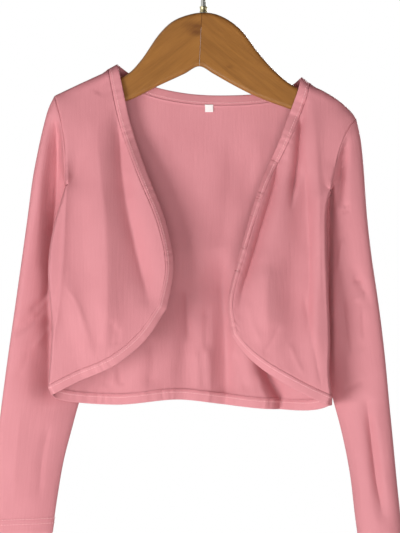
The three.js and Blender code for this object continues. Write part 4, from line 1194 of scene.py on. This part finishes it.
# %% Sleeves
def sleeve(side):
    """One sleeve: its object, its grid and its directions out of the cloth."""
    name = f"sleeve_{side}"
    loop, loop_out, into = armholes[side]
    at = np.linspace(0, LAST_RING, SLEEVE_RINGS + 1)
    outer_x, outer_z, outer_y, inner_x, inner_z, inner_y, half = (
        lookup(SLEEVE[side], at, number)[:, None] for number in range(1, 8))
    first = SLEEVE[side][0]
    bow = 1 - step_up(at, 0, ARMHOLE_FADES_BY)[:, None]
    bow_x = loop[:, 0] - first[1] - (first[4] - first[1]) * arm_share
    bow_z = loop[:, 2] - first[2] - (first[5] - first[2]) * arm_share
    x = outer_x + (inner_x - outer_x) * arm_share + bow * bow_x
    z = outer_z + (inner_z - outer_z) * arm_share + bow * bow_z
    sharper = np.minimum(at / SHARPER_BY, 1)[:, None] * (INNER_EDGE_ROUNDNESS - SECTION_ROUNDNESS)
    swell = np.abs(np.sin(arm_turn)) ** (SECTION_ROUNDNESS + sharper * step_up(arm_share, 0.4, 0.6))
    in_front = arm_turn < math.pi
    folds = np.where(in_front, broad_folds(name, x, z), broad_folds(name + "_behind", x, z))
    fine = np.where(in_front, creases(name, x, z), creases(name + "_behind", x, z))
    set_in = step_up(at, 0, 1)[:, None]
    depth = (half + folds + set_in * (fine + unevenness(x, z))) * swell
    middle = outer_y + (inner_y - outer_y) * arm_share
    grid = np.stack([x, middle + np.where(in_front, -depth, depth), z], axis=-1)
    grid[0] = loop + into * SEAM_GAP / 2
    normals = directions_across(grid, 1 if side == "left" else -1, closed=True)
    normals[0] = loop_out
    from_armhole = run_over(grid, 0)
    from_seam = np.linalg.norm(grid - grid[:, ARM_STEPS][:, None], axis=2)
    dip = seam_dip(from_armhole) + SLEEVE_SEAM_DIP * np.exp(-((from_seam / SLEEVE_SEAM_REACH) ** 2))
    dip *= away_from(grid, grid[0, ARM_STEPS]) * away_from(grid, grid[0, 0])
    to_end = from_armhole[-1:] - from_armhole
    thickness = JERSEY + TURNED_HEM * step_up(HEM_DEPTH - to_end, 0, HEM_STEP)
    thickness[-1] = JERSEY
    knit = knit_places(grid, closed=True)
    piece = cloth(name + "_cloth", grid - normals * dip[..., None], normals, thickness, knit, closed=True)
    return finish_piece(piece, jersey, "jersey", name), grid, normals


sleeve_left, sleeve_left_grid, sleeve_left_out = sleeve("left")
sleeve_right, sleeve_right_grid, sleeve_right_out = sleeve("right")
print("faces in a sleeve:", len(sleeve_left.data.polygons))

# %% [markdown]
# ## The bound edge
# One strip of the same jersey, folded double, is sewn round the whole opening. It is parted here
# at the shoulder points and side seams, as in the solid model. Each stretch is a real folded
# sheet: an outer face, a soft fold and an inner face, swept along the panel's edge. Its seam side
# is nipped by every stitch, which gives the dark, notched line of the photograph. On the fronts
# the band turns back over the breast, so less of its width is seen there.

# %% Bands
BAND_WIDTH = 9.5
BAND_HALF = 0.95
BAND_STEP = 0.55
BAND_TAPER = 0.1
STITCH = 2.6
NIP = 0.22
NIP_REACH = 0.1
OUT_TO_FACE = 0.3
STITCH_PLACE = 2.3
STITCH_LIFT = 1.02
BARE_END = 8
# Columns: share of the band's length, width seen from the front in mm
BAND_SEEN = {
    "left": [(0, 9.4), (0.1, 9.4), (0.3, 7.8), (0.5, 6.4), (0.7, 8.6), (1, 9.4)],
    "right": [(0, 9.4), (0.11, 9.4), (0.18, 7.6), (0.3, 5.4), (0.45, 4.2), (0.58, 3.6), (0.66, 4.6),
              (0.75, 7.6), (0.84, 9.4), (1, 9.4)],
    "flat": [(0, 9.4), (1, 9.4)],
}
BAND_ENDS = {"shoulder_left": (0.88, 0, 0.47), "shoulder_right": (-0.78, 0, 0.62),
             "side_left": (0.37, 0, -0.93), "side_right": (0, 0, -1)}
# One face of the folded band, from the seam to the fold; columns: distance from the seam as a
# share of the width, height as a share of the half thickness
BAND_FACE = [(-0.04, 0.1), (0.01, 0.55), (0.06, 0.9), (0.14, 1.03), (0.3, 1.06), (0.5, 1.0),
             (0.7, 0.97), (0.86, 0.93), (0.94, 0.78), (0.985, 0.45)]
BAND_SECTION = BAND_FACE + [(1.0, 0)] + [(place, -height) for place, height in BAND_FACE[::-1]]


def signed(directions, along_side):
    """Directions turned over wherever they point away from a wanted side."""
    return directions * np.where(along_side < 0, -1, 1)[:, None]


def band(name, seam, seam_out, seen_width, start, end):
    """A folded band along a panel's edge: its object, its length and the lines of its stitches."""
    length = lengths_of(seam)
    run = np.linspace(0, length[-1], int(length[-1] / BAND_STEP))
    near, out = at_run(seam, length, run), unit(at_run(seam_out, length, run))
    way = unit(at_run(seam, length, run + 1.6) - at_run(seam, length, run - 1.6))
    start_way, end_way = unit(np.array(BAND_ENDS[start])), unit(np.array(BAND_ENDS[end]))
    square = unit(np.stack([-way[:, 2], 0 * run, way[:, 0]], axis=1))
    square = signed(square, square @ (start_way + end_way))
    share = run / length[-1]
    from_start = step_up(share, 0, BAND_TAPER)[:, None]
    from_end = step_up(1 - share, 0, BAND_TAPER)[:, None]
    inside = np.minimum(from_start, from_end)
    outwards = unit(square * inside + start_way * (1 - from_start) + end_way * (1 - from_end))
    seen_here = lookup(BAND_SEEN[seen_width], share, 1)[:, None]
    turned = np.sqrt(np.maximum(BAND_WIDTH**2 - seen_here**2, 0)) * inside
    far = near + outwards * seen_here
    far[:, 1] += turned[:, 0] + 0.35 * np.sin(run / 7.3 + 2 * np.sin(run / 41)) * inside[:, 0]
    across = far - near
    face = unit(np.cross(way, across))
    face = signed(face, np.sum(face * out, axis=1))
    nip = NIP * (0.5 + 0.5 * np.cos(2 * np.pi * run / STITCH))
    grid = np.empty((len(run), len(BAND_SECTION), 3))
    for number, (place, height) in enumerate(BAND_SECTION):
        turn = step_up(place, 0, OUT_TO_FACE)
        up = unit(out * (1 - turn) + face * turn)
        nipped = 1 - nip * math.exp(-((place / NIP_REACH) ** 2))
        grid[:, number] = near + across * place + up * (height * BAND_HALF * nipped)[:, None]
    rows, columns = grid.shape[:2]
    knit = np.stack([run_over(grid, 1), run[:, None] + np.zeros((rows, columns))], axis=-1) / 1000
    corner_rows, corner_columns = cells(rows - 1, columns - 1)
    half = np.arange((columns - 1) // 2)
    cap = np.stack([half, half + 1, columns - 2 - half, columns - 1 - half], axis=1)
    for row in (0, rows - 1):
        corner_rows = np.vstack([corner_rows, np.full(cap.shape, row)])
        corner_columns = np.vstack([corner_columns, cap])
    piece = cloth_object(name + "_cloth", grid.reshape(-1, 3), corner_rows * columns + corner_columns,
                         knit[corner_rows, corner_columns])
    finish_piece(piece, band_jersey, "band", name)
    sewn = (run > BARE_END) & (run < length[-1] - BARE_END)
    middle = near + across * STITCH_PLACE / BAND_WIDTH
    stitched = [(middle + up * BAND_HALF * STITCH_LIFT, way, up) for up in (face, -face)]
    return piece, length[-1], [[part[sewn] for part in line] for line in stitched]


bands = {
    "front_left": band("band_front_left", seam_left, seam_left_out, "left", "shoulder_left", "side_left"),
    "front_right": band("band_front_right", seam_right, seam_right_out, "right", "shoulder_right",
                        "side_right"),
    "neck": band("band_neck", neck_seam, neck_out, "flat", "shoulder_left", "shoulder_right"),
    "hem": band("band_hem", hem_seam, hem_out, "flat", "side_left", "side_right"),
}
print("band lengths, mm:", {where: round(length) for where, (_, length, _) in bands.items()})

# %% [markdown]
# ## Stitches
# The band is held by a row of stitches a little way from its seam, on both faces, and each cuff by
# two rows. A stitch is a short arch of thread that dives into the cloth at both ends. It could be
# drawn by a bump, but a real arch keeps its small shadow when one looks closely.

# %% Rows of stitches
STITCH_LENGTH = 1.9
THREAD_RADIUS = 0.3
THREAD_SIDES = 6
STITCH_PLACES = np.array([-1, -0.7, -0.25, 0.25, 0.7, 1])
CUFF_STITCH = 2.8
CUFF_ROWS = (9.6, 14.2)


def stitch_row(name, line, ways, ups, spacing):
    """Small arches of thread along a line of places in mm."""
    length = lengths_of(line)
    count = int(length[-1] / spacing)
    run = (np.arange(count) + 0.5) * length[-1] / count
    centre, way, up = (at_run(part, length, run) for part in (line, ways, ups))
    way, up = unit(way), unit(up)
    aside = unit(np.cross(way, up))
    way, up, aside, centre = (part[:, None, None, :] for part in (way, up, aside, centre))
    t = STITCH_PLACES[None, :, None, None]
    turn = (np.arange(THREAD_SIDES) * 2 * math.pi / THREAD_SIDES)[None, None, :, None]
    thick = THREAD_RADIUS * np.sqrt(1 - 0.75 * t**2)
    rise = THREAD_RADIUS * (0.35 - 1.5 * t**4)
    points = (centre + way * t * STITCH_LENGTH / 2 + up * (rise + thick * np.sin(turn))
              + aside * thick * np.cos(turn))
    rings = len(STITCH_PLACES)
    ring, side = cells(rings - 1, THREAD_SIDES)
    one = (ring * THREAD_SIDES + side % THREAD_SIDES)[:, ::-1]
    faces = (one[None] + (np.arange(count) * rings * THREAD_SIDES)[:, None, None]).reshape(-1, 4)
    mesh = bpy.data.meshes.new(name)
    mesh.from_pydata((points.reshape(-1, 3) / 1000).tolist(), [], faces.tolist())
    mesh.shade_smooth()
    return finish_piece(in_scene(name, mesh), thread, "band")


def cuff_row(name, grid, normals, from_end):
    """One row of stitches round a cuff."""
    run = run_over(grid, 0)
    places, outs = (
        np.array([[np.interp(run[-1, column] - from_end, run[:, column], values[:, column, axis])
                   for axis in range(3)] for column in range(grid.shape[1])])
        for values in (grid, normals))
    places += outs * (JERSEY + TURNED_HEM) / 2
    ways = np.roll(places, -1, axis=0) - np.roll(places, 1, axis=0)
    places, ways, outs = (np.vstack([part, part[:1]]) for part in (places, ways, outs))
    return stitch_row(name, places, ways, outs, CUFF_STITCH)


stitches = {}
for where, (_, _, rows_of_stitches) in bands.items():
    for face, row in zip(("outer", "inner"), rows_of_stitches):
        stitches[where, face] = stitch_row(f"stitches_{where}_{face}", *row, STITCH)
sleeve_shapes = ((sleeve_left_grid, sleeve_left_out), (sleeve_right_grid, sleeve_right_out))
for side, (grid, normals) in zip(SIDES, sleeve_shapes):
    for number, from_end in enumerate(CUFF_ROWS):
        stitches[side, number] = cuff_row(f"stitches_cuff_{side}_{number}", grid, normals, from_end)
thread_faces = sum(len(row.data.polygons) for row in stitches.values())
print("stitches:", thread_faces // (THREAD_SIDES * (len(STITCH_PLACES) - 1)))

# %% [markdown]
# ## Size label
# A loop of white woven tape, caught in the neck seam, hangs inside the back. It is bare here. It is
# a small folded sheet with a slight curl, a little narrower at its fold.

# %% Label
LABEL_COLUMNS, LABEL_ROWS = 13, 15
LABEL_TUCK = 1.3
LABEL_NARROWING = 0.03
LABEL_THICKNESS = 0.45
low, high = (np.array(corner) * 1000 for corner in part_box("size_label"))
u, v = np.meshgrid(np.linspace(-1, 1, LABEL_COLUMNS), np.linspace(0, 1, LABEL_ROWS))
label_half = (high[0] - low[0]) * (1 - LABEL_NARROWING * v) / 2
label_x = (low[0] + high[0]) / 2 + u * label_half + 0.12 * np.sin(3 * v)
label_y = (low[1] + high[1]) / 2 - 0.1 * np.cos(u * 2.2) * v + 0.06 * np.sin(5 * v)
label_z = high[2] + LABEL_TUCK - v * (high[2] - low[2] + LABEL_TUCK)
label_grid = np.stack([label_x, label_y, label_z], axis=-1)
label_knit = np.stack([u * label_half, label_z], axis=-1) / 1000
label = cloth("size_label_tape", label_grid, directions_across(label_grid, 1), LABEL_THICKNESS, label_knit)
finish_piece(label, tape, "label", "size_label")
print("label, mm:", round(float(high[0] - low[0]), 1), "wide")

# %% [markdown]
# ## The hanger
# Two flat wooden arms are glued together at the middle, shaped as one and lacquered. The shape is
# an outline with rounded edges: rings of points that step inwards as the edge turns over. The glue
# joint and the way the grain follows each arm are what make it look like a real hanger, so each arm
# has its own grain direction, and the joint is a fine dark line.

# %% Wood
# The glue joint's place at the top of the wood, in metres, and its lean
JOINT_X = -0.0016
JOINT_Z = -0.058
JOINT_LEAN = 0.0484
JOINT_WIDTH = 0.0006
GRAIN_STRETCH = (0.07, 0.6, 1.0)
KNOT_FLATNESS = 0.45


def knot_shade(tree, parts, fibre, knot_x, knot_z, size, depth):
    """A dark knot that fades out over its size, with a rough edge."""
    off_x = calc(tree, "MULTIPLY", calc(tree, "SUBTRACT", parts["X"], knot_x), KNOT_FLATNESS)
    off_z = calc(tree, "SUBTRACT", parts["Z"], knot_z)
    squares = calc(tree, "ADD", calc(tree, "POWER", off_x, 2.0), calc(tree, "POWER", off_z, 2.0))
    wobble = calc(tree, "MULTIPLY", calc(tree, "SUBTRACT", fibre, 0.5), 0.8 * size)
    distance = calc(tree, "ADD", calc(tree, "SQRT", squares), wobble)
    return ranged(tree, distance, (0.0, size), (depth, 0.0))


def wood_material(name, grain_angle, knots):
    """Lacquered wood whose grain runs at an angle seen from the front, darker at the joint."""
    material, tree, shader = new_material(name)
    own = own_place(tree)
    parts = parts_of(tree, own)
    turned = add(tree, "Mapping", {"Vector": own, "Rotation": (0, math.radians(grain_angle), 0)})
    grain = stretched(tree, turned.outputs[0], GRAIN_STRETCH)
    fibre = noise(tree, grain, 900.0, Detail=6.0, Roughness=0.6)
    figure = noise(tree, grain, 120.0, Detail=4.0, Distortion=1.2)
    tone = calc(tree, "ADD", calc(tree, "MULTIPLY", figure, 0.55), calc(tree, "MULTIPLY", fibre, 0.45))
    ramp = add(tree, "ValToRGB", {"Fac": tone})
    dark, light = ramp.color_ramp.elements
    dark.position, dark.color = 0.32, (0.20, 0.082, 0.014, 1)
    light.position, light.color = 0.66, (0.345, 0.152, 0.03, 1)
    blotch = calc(tree, "MULTIPLY", noise(tree, own, 22.0), 0.55)
    colour = blend_colours(tree, blotch, ramp.outputs["Color"], (0.29, 0.132, 0.034, 1))
    for knot in knots:
        near = knot_shade(tree, parts, fibre, *knot)
        colour = blend_colours(tree, near, colour, (0.085, 0.022, 0.006, 1))
    lean = calc(tree, "MULTIPLY_ADD", calc(tree, "SUBTRACT", parts["Z"], JOINT_Z), JOINT_LEAN, JOINT_X)
    from_joint = calc(tree, "ABSOLUTE", calc(tree, "SUBTRACT", parts["X"], lean))
    joint = ranged(tree, from_joint, (0.0, JOINT_WIDTH), (0.75, 0.0))
    plug(tree, shader, {
        "Base Color": blend_colours(tree, joint, colour, (0.10, 0.03, 0.008, 1)),
        "Normal": relief(tree, tone, 0.12, 0.0002),
        "Roughness": ranged(tree, fibre, (0, 1), (0.32, 0.48)),
        "Specular IOR Level": 0.4,
        "Coat Weight": 0.15,
        "Coat Roughness": 0.25,
    })
    return material


# Columns of a knot: x, z, size, all in metres, and how dark it is
wood_left = wood_material("wood_left", 38, [
    (-0.0065, -0.0765, 0.0048, 0.7), (-0.009, -0.0705, 0.006, 0.45), (-0.0045, -0.0712, 0.003, 0.5)])
wood_right = wood_material("wood_right", -38, [(0.0235, -0.1085, 0.0022, 0.3)])

# %% Hanger arms
# Columns: x, z in mm, from the middle to each end
HANGER_TOP = {
    "left": [(-7, -58.6), (-27.2, -65.4), (-40, -76.8), (-58.3, -102.7), (-69.9, -114.5), (-88, -121.2),
             (-106, -122.7), (-118, -127.7), (-127, -134.5)],
    "right": [(7, -58.6), (19.5, -63), (34, -73.6), (51, -95.6), (63.6, -109.9), (80.4, -124.2),
              (98, -131.4), (114, -134.7), (123, -140.4), (128.5, -147)],
}
HANGER_EDGE = 3.5
HANGER_POINTS = 360
GLUE_LINE = 0.06
INNER_RING = 0.8


def shell_of(rings):
    """A closed shell over rings of places in mm, with a flat face at either end."""
    shell = bmesh.new()
    vertices = [[shell.verts.new(tuple(place / 1000)) for place in ring] for ring in rings]
    for ring, following in zip(vertices, vertices[1:]):
        for number in range(len(ring)):
            beside = (number + 1) % len(ring)
            shell.faces.new((ring[number], ring[beside], following[beside], following[number]))
    shell.faces.new(vertices[0])
    shell.faces.new(vertices[-1][::-1])
    return shell


outline = smooth_line(HANGER_TOP["right"] + HANGER_FOOT["right"] + HANGER_FOOT["left"][::-1]
                      + HANGER_TOP["left"][::-1], closed=True)
outline = along(outline, np.arange(HANGER_POINTS) / HANGER_POINTS)
outline_way = unit(np.roll(outline, -1, axis=0) - np.roll(outline, 1, axis=0))
inwards = np.stack([outline_way[:, 1], -outline_way[:, 0]], axis=1)
flat_depth = HANGER_THICKNESS / 2 - HANGER_EDGE
section = [(HANGER_EDGE + INNER_RING, -HANGER_THICKNESS / 2)]
for turn in np.radians(np.linspace(0, 90, 7)):
    section.append((HANGER_EDGE * (1 - math.sin(turn)), -flat_depth - HANGER_EDGE * math.cos(turn)))
section += [(inset, -depth) for inset, depth in section[::-1]]
hanger_shell = shell_of([upright(outline + inwards * inset, depth) for inset, depth in section])


def hanger_arm(name, side, material):
    """One glued half of the hanger, cut from the whole shape at the joint."""
    half = hanger_shell.copy()
    gap = GLUE_LINE / 1000 if side == "right" else -GLUE_LINE / 1000
    cut = bmesh.ops.bisect_plane(half, geom=half.verts[:] + half.edges[:] + half.faces[:],
                                 plane_co=(JOINT_X + gap, 0, JOINT_Z), plane_no=(1, 0, -JOINT_LEAN),
                                 clear_outer=side == "left", clear_inner=side == "right")
    edges = [part for part in cut["geom_cut"] if isinstance(part, bmesh.types.BMEdge)]
    bmesh.ops.holes_fill(half, edges=edges)
    return finish_piece(piece_of(name, half, sharp=40), material, "wood", f"hanger_arm_{side}")


arm_left = hanger_arm("hanger_wood_left", "left", wood_left)
arm_right = hanger_arm("hanger_wood_right", "right", wood_right)
print("hanger outline, mm:", round_length(outline))

# %% [markdown]
# ## Hook and collar
# The hook is drawn steel wire, bent into a question mark and rounded at its tip. The collar is a
# small pressed ring of plated brass that hides the hole in the wood. A tube swept along a line
# gives the wire, and a profile turned about the shank gives the collar.

# %% Metals
def metal_material(name, colour, dark, roughness, stretch):
    """Drawn or pressed metal with fine marks."""
    material, tree, shader = new_material(name)
    own = own_place(tree)
    marks = noise(tree, stretched(tree, own, stretch), 700.0, Detail=4.0)
    dull = noise(tree, own, 160.0, Detail=3.0)
    plug(tree, shader, {
        "Base Color": blend_colours(tree, dull, dark, colour),
        "Normal": relief(tree, marks, 0.05, 0.00003),
        "Roughness": ranged(tree, marks, (0, 1), (roughness - 0.07, roughness + 0.12)),
        "Metallic": 1.0,
    })
    return material


steel = metal_material("steel_wire", (0.66, 0.655, 0.62, 1), (0.52, 0.515, 0.48, 1), 0.2, (1, 1, 0.1))
brass = metal_material("plated_brass", (0.62, 0.55, 0.33, 1), (0.40, 0.34, 0.18, 1), 0.28, (1, 1, 1))

# %% Hook
WIRE = 5
WIRE_SIDES = 24
HOOK_RADIUS = 20.5
HOOK_MIDDLE = -18
HOOK_TURN = (-58, 200)
SHANK_FOOT, SHANK_TOP = -71.4, -48.5
BEND = 6
TIP_TURNS = np.radians([25, 50, 70, 85])

turns = np.radians(np.linspace(*HOOK_TURN, 90))
loop = np.stack([HOOK_RADIUS * np.cos(turns), HOOK_RADIUS * np.sin(turns) + HOOK_MIDDLE], axis=1)
loop_start = np.array([-math.sin(turns[0]), math.cos(turns[0])])
bend = [np.array([0, SHANK_TOP]), np.array([0, SHANK_TOP + BEND]), loop[0] - BEND * loop_start, loop[0]]
t = np.linspace(0, 1, 16)[1:-1, None]
bent = ((1 - t) ** 3 * bend[0] + 3 * (1 - t) ** 2 * t * bend[1] + 3 * (1 - t) * t**2 * bend[2]
        + t**3 * bend[3])
shank = np.stack([np.zeros(8), np.linspace(SHANK_FOOT, SHANK_TOP, 8)], axis=1)
wire_line = np.vstack([shank, bent, loop])
wire_way = unit(np.gradient(wire_line, axis=0))
tip = wire_line[-1] + wire_way[-1] * np.sin(TIP_TURNS)[:, None] * WIRE / 2
wire_radius = np.concatenate([np.ones(len(wire_line)), np.cos(TIP_TURNS)])[:, None] * WIRE / 2
wire_line = np.vstack([wire_line, tip])
wire_way = np.vstack([wire_way, np.repeat(wire_way[-1:], len(tip), axis=0)])
aside = np.stack([wire_way[:, 1], -wire_way[:, 0]], axis=1)[:, None]
round_wire = np.arange(WIRE_SIDES) * 2 * math.pi / WIRE_SIDES
wire_rings = upright(wire_line[:, None] + aside * (wire_radius * np.cos(round_wire))[..., None],
                     wire_radius * np.sin(round_wire))
hook = piece_of("hook_wire", shell_of(wire_rings), sharp=45)
finish_piece(hook, steel, "steel", "hook")
print("wire length, mm:", round(lengths_of(wire_line)[-1]))

# %% Collar
# Columns: radius, height above the wood, in mm
COLLAR = [(2.55, 0), (3.8, 0.02), (3.8, 0.55), (3.45, 0.85), (3.3, 1.6), (3.32, 3.4), (3.5, 4.1),
          (3.75, 4.5), (3.75, 4.9), (3.5, 5.25), (2.9, 5.45), (2.55, 5.45)]
COLLAR_FOOT = -57.7
COLLAR_SIDES = 40

round_collar = np.arange(COLLAR_SIDES) * 2 * math.pi / COLLAR_SIDES
collar_rings = [np.stack([radius * np.cos(round_collar), radius * np.sin(round_collar),
                          np.full(COLLAR_SIDES, COLLAR_FOOT + height)], axis=1)
                for radius, height in COLLAR]
collar = piece_of("collar_ring", shell_of(collar_rings), sharp=45)
finish_piece(collar, brass, "collar", "hook_collar")
print("collar, mm:", COLLAR[-1][1], "high")

# %% [markdown]
# ## Cloth sheets
# The number of cloth sheets is printed: two fronts, a back, two sleeves and the bands. The sizes
# are those a cutter would use for this jacket, without seam allowances, for what shows of each
# piece.

# %% Sheets
print("sheets declared:", 5 + len(bands))
